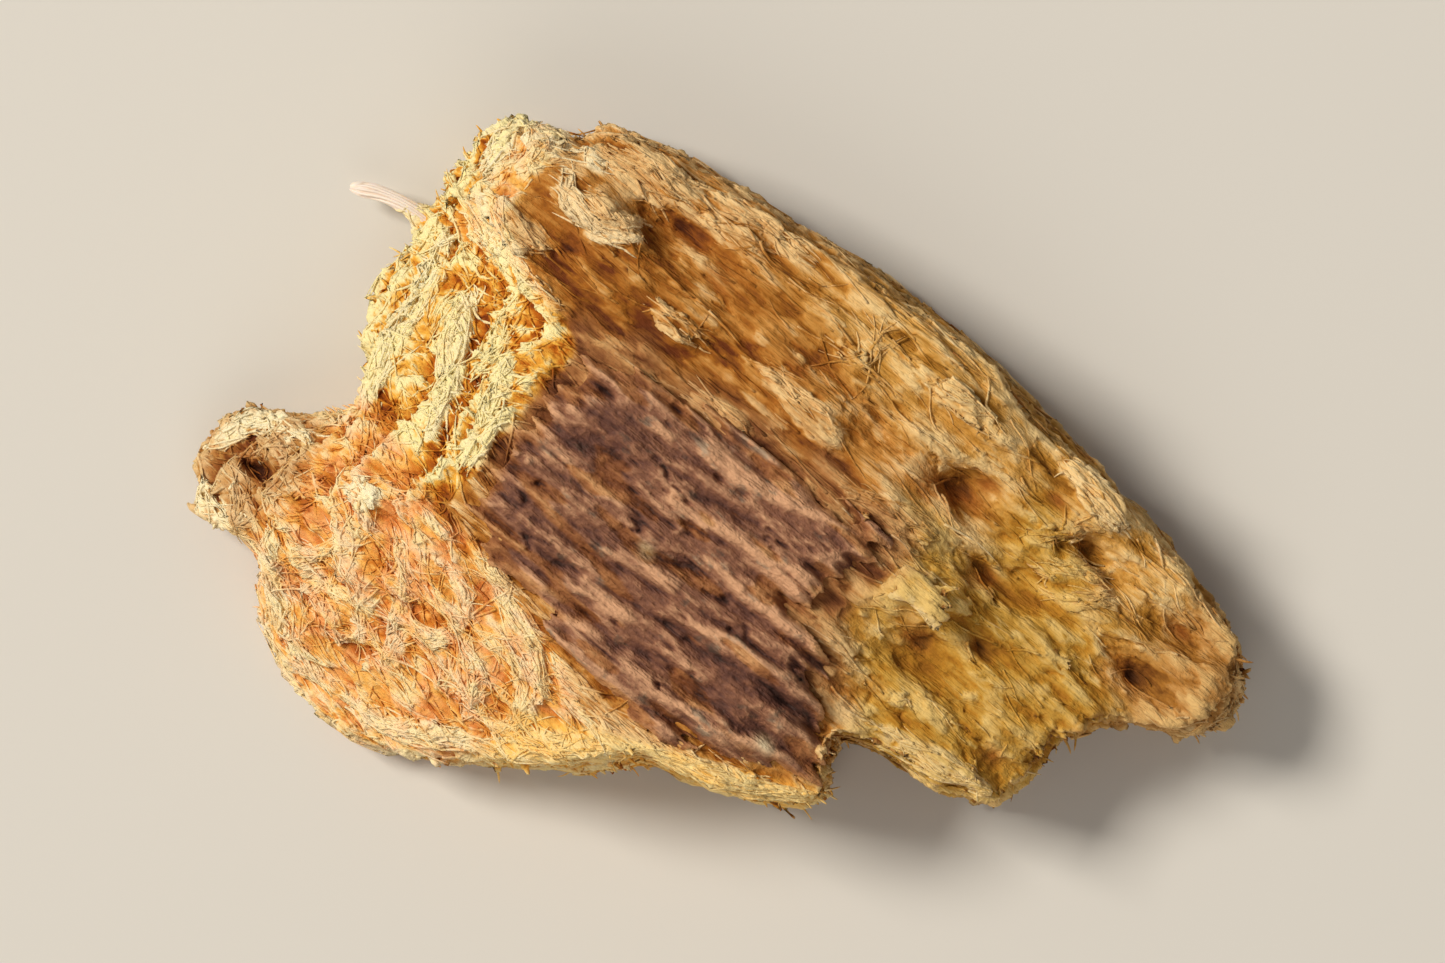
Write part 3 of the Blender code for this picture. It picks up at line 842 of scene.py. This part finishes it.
def paint_zones(mesh, points, normals):
    """How much each point belongs to each part of the chip. The parts run into each other."""
    blur = 0.20 * noise_at(points, (0.6, 0.35, 0.4), 9.0)
    end, lobe = end_depth(points) + 0.5 * blur, lobe_depth(points) + blur
    x, y, upward = points[:, 0], points[:, 1], normals[:, 2]
    rim = rim_share(points) * step(-0.6, 0.1, upward)
    olive = step(-0.35, 0.35, depth_inside(points, OLIVE_BORDER) + 1.6 * blur) * (1.0 - rim)
    stain = step(-0.60, -0.10, depth_inside(points, CORK_BORDER) + 1.5 * blur) * step(-1.2, -0.4, y)
    stain *= step(0.3, 0.7, upward) * step(2.4, 1.6, x) * (1.0 - rim)
    tip = step(-4.6, -5.2, x + blur) * step(-1.2, -1.7, y)
    pale_end = step(-0.05, 0.10, end)
    upper_end = pale_end * step(1.2, 1.7, y + blur) * step(-5.62, -5.40, x)
    pale_lobe = step(-0.05, 0.15, lobe) * (1.0 - rim) * step(1.6, 0.6, x)
    stain *= 1.0 - step(-0.1, 0.1, np.maximum(end, lobe))
    shares = {
        "golden": pale_end * (1.0 - 0.9 * tip),
        "orange": np.maximum(pale_lobe, 0.8 * upper_end) * (1.0 - 0.8 * tip),
        "rim": rim,
        "olive": olive,
        "back": step(2.8, 3.5, y + blur + 0.10 * x) * step(-2.5, 0.0, x),
        "nose": step(4.4, 5.2, x + blur),
        "stain": np.maximum(stain, 0.8 * tip),
        "pit": 0.75 * spots(points, PITS) * step(0.0, 0.4, upward),
        "side": step(0.5, 0.1, upward),
        "under": step(-0.3, -0.8, upward) * step(0.3, 0.1, points[:, 2]),
    }
    for part, share in shares.items():
        paint(mesh, part, share)


def ridge_profile(points):
    """Long wavy ridges that part, join and break off, strongest towards +X and -Y."""
    x, y = points[:, 0], points[:, 1]
    flat = points * (1, 1, 0)
    sway = 0.28 * noise_at(flat, (1.5, 0.8, 1.0), 3.0) + 0.10 * noise_at(flat, (0.45, 0.25, 1.0), 7.0)
    turn = math.pi * (y + sway - 0.14 * x) / RIDGE_SPACING
    strength = 0.10 + 0.75 * step(-2.5, 1.0, x - 0.9 * y) + 0.8 * noise_at(flat, (0.7, 0.4, 1.0), 8.0)
    skewed = flat - np.outer(x, (0, 0.14, 0))
    own = noise_at(skewed, (1.2, 0.30, 1.0), 12.0) + 0.35 * noise_at(skewed, (0.5, 0.14, 1.0), 19.0)
    level = 3.2 * noise_at(skewed, (0.7, 0.20, 1.0), 23.0)
    ridges = np.maximum(strength, 0.0) * (np.abs(np.sin(turn)) ** 0.65 - 0.7)
    return RIDGE_HEIGHT * (ridges + 0.5 * own + 0.16 * terraces(level, 0.30))


def pale_streak_share(points):
    """1 on the pale streaks along the crests, and 0 beside them."""
    flat = points * (1, 1, 0)
    sway = 0.07 * noise_at(flat, (0.5, 0.25, 1.0), 27.0)
    worn = np.clip(0.9 + 0.8 * noise_at(flat, (0.35, 0.12, 1.0), 28.0), 0.2, 1.0)
    share = np.zeros(len(points))
    for start, end in PALE_CORK_STREAKS:
        away_x, away_y = off_run(points, start, end).T
        share = np.maximum(share, np.exp(-(np.hypot(away_x, away_y + sway) / 0.10) ** 2))
    return share * worn


def cork_cover(points):
    """How far a point lies inside the cork's own border, which runs out in tongues along the grain."""
    flat = points * (1, 1, 0)
    tongues = 0.30 * noise_at(flat, (1.1, 0.13, 1.0), 5.0) + 0.10 * noise_at(flat, (0.22, 0.10, 1.0), 6.0)
    cover = depth_inside(points, CORK_BORDER) + tongues - 0.10 * step(-2.2, -3.0, points[:, 0])
    cover = np.minimum(cover, points[:, 0] + 3.16)
    return np.minimum(cover, -0.08 - rim_depth(points) + 0.3 * tongues)


def crown(points):
    """Height of the tan layer under the cork, bent round the trunk and lower towards the nose."""
    x, y = points[:, 0], points[:, 1]
    height = TAN_HEIGHT - (y - CREST_Y) ** 2 / (2.0 * TRUNK_RADIUS)
    return height - 0.25 * step(0.9, 2.4, x) - 0.20 * np.maximum(x - 1.8, 0.0)


def cork_plate():
    """The cork: a thin ridged plate with a broken border, bent over the tan layer."""
    bpy.ops.object.select_all(action="DESELECT")
    cells = int(CORK_SHEET / CORK_VOXEL)
    bpy.ops.mesh.primitive_grid_add(x_subdivisions=cells, y_subdivisions=cells, size=CORK_SHEET)
    plate = bpy.context.object
    plate.name = "cork_plate"
    set_points(plate.data, points_of(plate.data) * (1.0, SHEET_NARROWING, 1.0))
    pick(plate, "vertices", cork_cover(points_of(plate.data)) < 0.0)
    bpy.ops.mesh.delete(type="VERT")
    bpy.ops.mesh.select_all(action="SELECT")
    thick = CORK_STEP + CORK_ROOT
    bpy.ops.mesh.extrude_region_move(TRANSFORM_OT_translate={"value": (0.0, 0.0, thick)})
    bpy.ops.mesh.select_all(action="SELECT")
    bpy.ops.mesh.normals_make_consistent(inside=False)
    bpy.ops.object.mode_set(mode="OBJECT")
    remesh(plate, CORK_VOXEL)
    # The flat plate is laid on the bark: its foot in the tan layer, its top with the cork's relief
    points = points_of(plate.data)
    share = np.clip(points[:, 2] / thick, 0.0, 1.0)
    flat = points * (1, 1, 0)
    inner = cork_cover(points)
    seam = np.abs(noise_at(flat, (1.0, 0.14, 1.0), 16.0))
    slits = step(0.09, 0.02, seam) * step(-0.05, 0.2, noise_at(flat, (0.5, 0.3, 1.0), 17.0))
    fine = 0.024 * noise_at(flat, (0.22, 0.07, 1.0), 13.0) + 0.020 * noise_at(flat, (0.07, 0.05, 1.0), 14.0)
    worn_edge = 0.16 * step(0.30, 0.0, inner) * (0.8 + 0.8 * noise_at(flat, (0.4, 0.25, 1.0), 15.0))
    flaked = step(0.22, 0.32, noise_at(flat, (0.8, 0.20, 1.0), 18.0))
    streaked = pale_streak_share(points)
    relief = ridge_profile(points) + fine + 0.05 * streaked
    relief -= 0.08 * slits + 0.03 * flaked + worn_edge
    top = crown(points) + CORK_STEP + relief
    bottom = crown(points) - CORK_ROOT
    points[:, 2] = bottom + share * (top - bottom)
    set_points(plate.data, points)
    apply_modifier(plate, "SMOOTH", factor=0.35, iterations=1)
    # How deep each point lies in a gap: the cork material paints shade into gaps and highlight onto crests
    # from it
    paint(plate.data, "recess", recess_of(plate.data, 60, 0.08))
    frayed = 0.22 * noise_at(flat, (0.5, 0.16, 1.0), 11.0)
    paint(plate.data, "flaked", np.maximum(flaked, step(0.16, 0.0, inner + frayed)))
    paint(plate.data, "tone", spots(points, KNOBS))
    paint(plate.data, "shade", 0.5 + patches(points, CORK_PATCHES) + 0.5 * streaked)
    return plate


def fine_widths(least, most):
    """Half width of a single fibre at each stop, from its foot to its thin tip."""
    widths = chance.uniform(least, most) * (1.0 - 0.6 * np.linspace(0.0, 1.0, STOPS) ** 2)
    widths[-1] = FIBRE_TIP
    return widths


def fibre_along(surface, place, heading, length, wander, rise):
    """A single fine fibre that starts here and lies on the skin, with its far end lifted by rise."""
    lifts = 0.004 + rise * np.linspace(0.0, 1.0, STOPS) ** 2
    line, normals = lay_route(surface, place, heading, length, wander, lifts)
    line[1:-1] = 0.25 * line[:-2] + 0.5 * line[1:-1] + 0.25 * line[2:]
    widths = fine_widths(0.010, 0.022)
    return line, normals, widths, widths


def fibre_out(place, normal):
    """A single fine fibre that sticks out of a broken side and droops."""
    out = Vector((math.copysign(1.0, normal.x), chance.gauss(0.0, 0.4), chance.gauss(0.1, 0.3)))
    out.normalize()
    reach = chance.uniform(0.06, 0.26)
    share = np.linspace(0.0, 1.0, STOPS)
    line = np.array(place - out * 0.05) + share[:, None] * reach * np.array(out)
    line[:, 1] += chance.gauss(0.0, 0.35) * reach * share ** 2
    line[:, 2] -= chance.uniform(0.0, 0.5) * reach * share ** 2
    widths = fine_widths(0.012, 0.024)
    return line, at_each_stop(beside(out)), widths, widths


def bundle_fibres(surface):
    """Single fibres that lie along the bundles, up to their ends."""
    strands = []
    for half_width, shade, places in BUNDLES:
        curve = smooth_curve(places, CURVE_POINTS)
        run = sum((b - a).length for a, b in zip(curve, curve[1:]))
        for _ in range(int(FIBRES_PER_MM * run)):
            spot = chance.randrange(1, CURVE_POINTS - 2)
            ahead = curve[spot + 1] - curve[spot - 1]
            aside = Vector((-ahead.y, ahead.x)).normalized() * half_width * chance.uniform(-1.0, 1.0)
            place, _ = drop_on(surface, *(curve[spot] + aside))
            heading = Vector((ahead.x, ahead.y, 0.0)).normalized()
            left = run * (1.0 - spot / (CURVE_POINTS - 1.0))
            if chance.random() < 0.5:
                heading, left = -heading, run - left
            heading.rotate(Matrix.Rotation(chance.gauss(0.0, 0.12), 3, "Z"))
            length = min(chance.uniform(0.3, 0.9), left + 0.12)
            own_shade = min(shade + chance.gauss(0.02, 0.10), max(shade, 1.0))
            rise = 0.03 * chance.random() ** 3
            strands.append((*fibre_along(surface, place, heading, length, 0.06, rise), own_shade))
    return strands


def shades_under(skin, surface, line):
    """The shade of the skin under each stop of a fibre, with the painted shade of the gaps and the painted
    highlight of the crests carried over.
    """
    shades = []
    for place in line.tolist():
        _, _, face, _ = surface.find_nearest(place)
        corner = skin.data.polygons[face].vertices[0]
        tone, recess, bleached = (
            skin.data.attributes[name].data[corner].value for name in ("tone", "recess", "bleached")
        )
        # The painted shade of the gaps and the painted highlight of the crests, carried onto the fibre
        shades.append(min(tone - 0.7 * recess, 1.0) + bleached / BLEACHING)
    return np.array(shades)


def face_fibres(skin, surface, form, count, zones, most_rise):
    """Single fibres here and there on these parts, each near the shade of the bark that it lies on."""
    strands = []
    faces = form.data.polygons
    while len(strands) < count:
        face = faces[chance.randrange(len(faces))]
        place, normal = Vector(face.center), Vector(face.normal)
        zone = zone_at(place, normal)
        if zone not in zones or place.z < LOWEST_FIBRE:
            continue
        if zone == "break":
            start = nearest_on(surface, place + normal * 0.1)[0]
            shade = shade_at(place, zone, 0.22) + 0.20
            strands.append((*fibre_out(start, normal), shade))
            continue
        rise = chance.uniform(0.0, most_rise if zone in TORN_ZONES else 0.01)
        shortest, longest, wander = HABITS[zone][2:]
        length = chance.uniform(shortest, longest)
        heading = heading_at(place, zone)
        fibre = fibre_along(surface, place + normal * 0.1, heading, length, wander, rise)
        strands.append((*fibre, shades_under(skin, surface, fibre[0]) + chance.gauss(0.12, 0.10)))
    return strands


def fine_fibres(name, strands):
    """A piece of single fibres, finer than the skin can hold."""
    shape = strand_shape()
    stop = shape[0]
    fibres = put_in_scene(name, strands_mesh(name, shape, strands))
    normals = np.concatenate([normals[stop] for _, normals, *_ in strands])
    points = points_of(fibres.data)
    points[:, 2] = np.maximum(points[:, 2], 0.005)
    set_points(fibres.data, points)
    tones = [np.broadcast_to(shade, STOPS)[stop] for *_, shade in strands]
    paint(fibres.data, "recess", np.zeros(len(points)))
    paint_tones(fibres.data, np.concatenate(tones))
    paint_zones(fibres.data, points, normals)
    return fibres


def stray_fibre():
    """The one pale strand that sticks far out of the broken left end: a twist of fibres round the
    solid's own strand, with a swollen tip."""
    share = np.linspace(-0.25, 1.0, STOPS)
    x, y, z = STRAY_FOOT
    core = np.stack([
        x - STRAY_REACH * share,
        y - STRAY_DROOP * np.maximum(share, 0.0) ** 2,
        z + 0.03 * np.sin(5.0 * share),
    ], axis=1)
    up = at_each_stop((0.0, 0.0, 1.0))
    swollen = 0.085 + 0.035 * np.exp(-((share - 0.86) / 0.12) ** 2) - 0.060 * step(0.88, 1.0, share)
    strands = [(core, up, swollen + 0.02, swollen + 0.02, 0.92)]
    for lane in range(TWISTED_FIBRES):
        turn = 2.0 * math.pi * lane / TWISTED_FIBRES + 0.9 * share + 0.25 * np.sin(4.0 * share + lane)
        line = core.copy()
        line[:, 1] += swollen * np.cos(turn)
        line[:, 2] += swollen * np.sin(turn)
        line[:, 0] += 0.05 * chance.random() * step(0.7, 1.0, share)
        widths = chance.uniform(0.026, 0.036) * taper(0.8)
        strands.append((line, up, widths, widths, chance.uniform(0.86, 1.0)))
    fibre = put_in_scene("stray_fibre", strands_mesh("stray_fibre", strand_shape(), strands))
    apply_modifier(fibre, "SUBSURF", levels=1, render_levels=1)
    shades = np.repeat([shade for *_, shade in strands], len(fibre.data.vertices) // len(strands))
    spread = noise_at(points_of(fibre.data), (0.4, 0.06, 0.06), 61.0)
    paint(fibre.data, "tone", np.clip(shades + 0.10 * spread, 0.0, 1.0))
    return fibre


def linear(hex_colour):
    """An sRGB hex colour as linear RGBA."""
    parts = [int(hex_colour[i:i + 2], 16) / 255.0 for i in (1, 3, 5)]
    return tuple(v / 12.92 if v <= 0.04045 else ((v + 0.055) / 1.055) ** 2.4 for v in parts) + (1.0,)


def add_node(tree, kind, settings=None, inputs=None, output=0):
    """Adds a node with its settings, its values and its links, and gives its output. An input that
    is a socket is linked, and the setting stops holds a colour ramp's (level, hex colour) pairs."""
    node = tree.nodes.new(kind)
    for setting, value in (settings or {}).items():
        if setting != "stops":
            setattr(node, setting, value)
            continue
        elements = node.color_ramp.elements
        while len(elements) < len(value):
            elements.new(0.5)
        for element, (position, hex_colour) in zip(elements, value):
            element.position = position
            element.color = linear(hex_colour)
    for socket, value in (inputs or {}).items():
        if isinstance(value, bpy.types.NodeSocket):
            tree.links.new(value, node.inputs[socket])
        else:
            node.inputs[socket].default_value = value
    return node.outputs[output]


def new_material(name):
    material = bpy.data.materials.new(name)
    material.use_nodes = True
    return material, material.node_tree, material.node_tree.nodes["Principled BSDF"]


def pattern(tree, size, detail=3.0):
    """Noise from 0 to 1 in lumps of this size along X, Y and Z, in millimetres."""
    place = add_node(tree, "ShaderNodeTexCoord", output="Object")
    scale = tuple(1000.0 / length for length in size)
    place = add_node(tree, "ShaderNodeMapping", {}, {"Vector": place, "Scale": scale})
    inputs = {"Vector": place, "Scale": 1.0, "Detail": detail, "Roughness": 0.6}
    return add_node(tree, "ShaderNodeTexNoise", {}, inputs)


def colour_level(tree, middle, recess, depth, swings):
    """The level at which colours are read: lower by this depth in a gap and higher on a crest, as painted
    shade and painted highlight, and raised and lowered by each of the swings, which are values from 0 to 1
    and their shares."""
    level = middle - 0.5 * sum(share for _, share in swings)
    for values, share in ((recess, -depth), *swings):
        inputs = {0: values, 1: share, 2: level}
        level = add_node(tree, "ShaderNodeMath", {"operation": "MULTIPLY_ADD"}, inputs)
    return level


def laid_over(tree, colour, layers):
    """The colour with each layer laid over it in turn: its share, and its own colour."""
    for share, over in layers:
        inputs = {"Factor": share, 6: colour, 7: over}
        colour = add_node(tree, "ShaderNodeMix", {"data_type": "RGBA"}, inputs, 2)
    return colour


def dress(tree, shader, colour, roughness, relief):
    """Links the shader to a colour, a roughness and a fine relief. These two are each given as
    a pattern, its share, and what it is added to."""
    settings = {"operation": "MULTIPLY_ADD"}
    rough, height = (
        add_node(tree, "ShaderNodeMath", settings, dict(enumerate(terms))) for terms in (roughness, relief)
    )
    inputs = {"Strength": 1.0, "Distance": BUMP_DEPTH, "Height": height}
    bump = add_node(tree, "ShaderNodeBump", {}, inputs)
    for socket, value in (("Base Color", colour), ("Roughness", rough), ("Normal", bump)):
        tree.links.new(value, shader.inputs[socket])


def inner_bark_material():
    """Dried inner bark, torn and worn: matt and fibrous, with painted highlight on each crest and painted
    shade in each gap.
    """
    material, tree, shader = new_material("dried_inner_bark")
    # Bast fibres are about 0.02 mm thick, too fine to show, so they are drawn about twice as coarse
    fibres = pattern(tree, (0.6, 0.045, 0.045))
    crumbs = pattern(tree, (0.10, 0.07, 0.07), 4.0)
    blotch = pattern(tree, (0.5, 0.28, 0.28))
    hue = pattern(tree, (0.45, 0.30, 0.30), 2.0)
    parts = list(BARK_COLOURS)[1:]
    painted = {
        name: add_node(tree, "ShaderNodeAttribute", {"attribute_name": name}, output="Fac")
        for name in ["recess", "tone"] + parts
    }
    inputs = {0: painted["golden"], 1: painted["orange"]}
    torn = add_node(tree, "ShaderNodeMath", {"operation": "MAXIMUM"}, inputs)
    torn = add_node(tree, "ShaderNodeMath", {"operation": "MULTIPLY"}, {0: torn, 1: 0.5})
    fine = add_node(tree, "ShaderNodeMix", {}, {0: torn, 2: fibres, 3: crumbs})
    swings = ((painted["tone"], 0.50), (fine, 0.40), (blotch, 0.75))
    # The recess lowers the level in gaps and raises it on crests: painted shade and painted highlight
    level = colour_level(tree, 0.48, painted["recess"], 0.36, swings)
    colours = {
        part: add_node(tree, "ShaderNodeValToRGB", {"stops": stops}, {"Fac": level})
        for part, stops in BARK_COLOURS.items()
    }
    # The torn face below the cork is rosy in patches
    inputs = {"Value": hue, "From Min": 0.44, "From Max": 0.58, "To Min": 0.0, "To Max": 0.7}
    pinkish = add_node(tree, "ShaderNodeMapRange", {}, inputs)
    rosy = add_node(tree, "ShaderNodeValToRGB", {"stops": ROSY}, {"Fac": level})
    colours["orange"] = laid_over(tree, colours["orange"], [(pinkish, rosy)])
    colour = laid_over(tree, colours["tan"], [(painted[part], colours[part]) for part in parts])
    dress(tree, shader, colour, (crumbs, 0.25, 0.66), (crumbs, 0.7, fine))
    shader.inputs["Specular IOR Level"].default_value = 0.25
    return material


def cork_material():
    """Weathered cork: purple-brown and slightly waxy, pinkish in streaks along the ridges, with painted
    highlight on each crest and painted shade in each gap.
    """
    material, tree, shader = new_material("weathered_cork")
    fibres = pattern(tree, (0.45, 0.05, 0.2))
    specks = pattern(tree, (0.16, 0.10, 0.16))
    blotch = pattern(tree, (1.0, 0.34, 0.8), 4.0)
    bloom = pattern(tree, (0.35, 0.22, 0.4))
    # Cork cells are about 0.03 mm wide, too fine to show, so the grit is drawn up to twice as coarse
    grit = pattern(tree, (0.06, 0.04, 0.05))
    painted = {
        name: add_node(tree, "ShaderNodeAttribute", {"attribute_name": name}, output="Fac")
        for name in ("recess", "shade", "flaked", "tone")
    }
    swings = ((fibres, 0.45), (specks, 0.50), (blotch, 0.70), (painted["shade"], 0.36))
    # The recess lowers the level in gaps and raises it on crests: painted shade and painted highlight
    level = colour_level(tree, 0.46, painted["recess"], 0.34, swings)
    colours = {
        part: add_node(tree, "ShaderNodeValToRGB", {"stops": stops}, {"Fac": level})
        for part, stops in CORK_COLOURS.items()
    }
    # A grey bloom has grown over parts of it
    inputs = {"Value": bloom, "From Min": 0.5714, "From Max": 0.6857, "To Min": 0.0, "To Max": 0.8}
    grown_over = add_node(tree, "ShaderNodeMapRange", {}, inputs)
    shares = {"grey": grown_over, "flaked": painted["flaked"], "crumb": painted["tone"]}
    colour = laid_over(tree, colours["skin"], [(share, colours[part]) for part, share in shares.items()])
    coarse = add_node(tree, "ShaderNodeMath", {"operation": "ADD"}, {0: fibres, 1: specks})
    dress(tree, shader, colour, (grit, 0.3, 0.5), (grit, 0.6, coarse))
    shader.inputs["Specular IOR Level"].default_value = 0.35
    return material


def fibre_material():
    """Single dry bast fibres: cream to gold, a little glossy, and thin enough to glow."""
    material, tree, shader = new_material("bast_fibre")
    tone = add_node(tree, "ShaderNodeAttribute", {"attribute_name": "tone"}, output="Fac")
    colour = add_node(tree, "ShaderNodeValToRGB", {"stops": FIBRE_COLOURS}, {"Fac": tone})
    tree.links.new(colour, shader.inputs["Base Color"])
    shader.inputs["Roughness"].default_value = 0.5
    shader.inputs["Subsurface Weight"].default_value = 0.2
    shader.inputs["Subsurface Radius"].default_value = (0.0002, 0.0001, 0.00005)
    shader.inputs["Subsurface Scale"].default_value = 1.0
    return material


def finish_piece(piece, material):
    """Brings a finished piece to its place in the frame, shaded smooth and with its material."""
    piece.data.transform(TO_FRAME)
    piece.data.materials.clear()
    piece.data.materials.append(material)
    piece.data.shade_smooth()
    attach(piece, "root")


def paper_floor():
    """A sheet of pale card, far wider than the view."""
    bpy.ops.object.select_all(action="DESELECT")
    bpy.ops.mesh.primitive_plane_add(size=1.2, location=(0.0, 0.0, 0.0))
    floor = bpy.context.object
    floor.name = "paper_floor"
    material, _, shader = new_material("pale_card")
    shader.inputs["Base Color"].default_value = linear("#d9d6d0")
    shader.inputs["Roughness"].default_value = 0.9
    floor.data.materials.append(material)


def studio_light(name, direction, distance, size, power, colour):
    """A square soft light that shines on the chip from this direction."""
    lamp = bpy.data.lights.new(name, "AREA")
    lamp.size = size
    lamp.energy = power
    lamp.color = linear(colour)[:3]
    stand = bpy.data.objects.new(name, lamp)
    bpy.context.scene.collection.objects.link(stand)
    direction = Vector(direction).normalized()
    stand.location = direction * distance
    stand.rotation_euler = direction.to_track_quat("Z", "Y").to_euler()


def light_and_camera():
    """Soft light, most of it from the upper left of the picture, and a camera that looks straight
    down."""
    studio_light("key_light", (-0.66, -0.16, 0.73), 0.40, 0.12, 1.5, "#fff8ec")
    studio_light("fill_light", (0.4, -0.6, 0.7), 0.45, 0.40, 0.50, "#fff2e2")
    world = bpy.data.worlds.new("soft_room")
    world.use_nodes = True
    background = world.node_tree.nodes["Background"]
    background.inputs["Color"].default_value = (1.0, 0.98, 0.95, 1.0)
    background.inputs["Strength"].default_value = 0.20
    bpy.context.scene.world = world
    bpy.context.scene.view_settings.view_transform = "Standard"
    lens = bpy.data.cameras.new("camera")
    lens.lens = LENS
    lens.clip_start = 0.005
    lens.clip_end = 10.0
    camera = bpy.data.objects.new("camera", lens)
    bpy.context.scene.collection.objects.link(camera)
    distance = VIEW_WIDTH * lens.lens / lens.sensor_width
    camera.location = (*VIEW_MIDDLE, distance)
    camera.rotation_euler = (0.0, 0.0, math.radians(VIEW_TURN))
    bpy.context.scene.camera = camera


light_and_camera()
paper_floor()
form = plain_form()
surface = surface_of(form)
skin = bark_skin(form, surface, grow_strands(form, surface))
skin_surface = surface_of(skin)
plate = cork_plate()
lying = bundle_fibres(skin_surface)
lying += face_fibres(skin, skin_surface, form, LOOSE_FIBRES - len(lying), ALL_ZONES, 0.10)
loose = fine_fibres("loose_fibres", lying)
lying = face_fibres(skin, skin_surface, form, TORN_FIBRES, TORN_ZONES, 0.05)
torn = fine_fibres("torn_face_fibres", lying)
stray = stray_fibre()
bpy.data.objects.remove(form)
inner_bark = inner_bark_material()
finish_piece(skin, inner_bark)
finish_piece(loose, inner_bark)
finish_piece(torn, inner_bark)
finish_piece(plate, cork_material())
finish_piece(stray, fibre_material())
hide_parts("bark_chip")
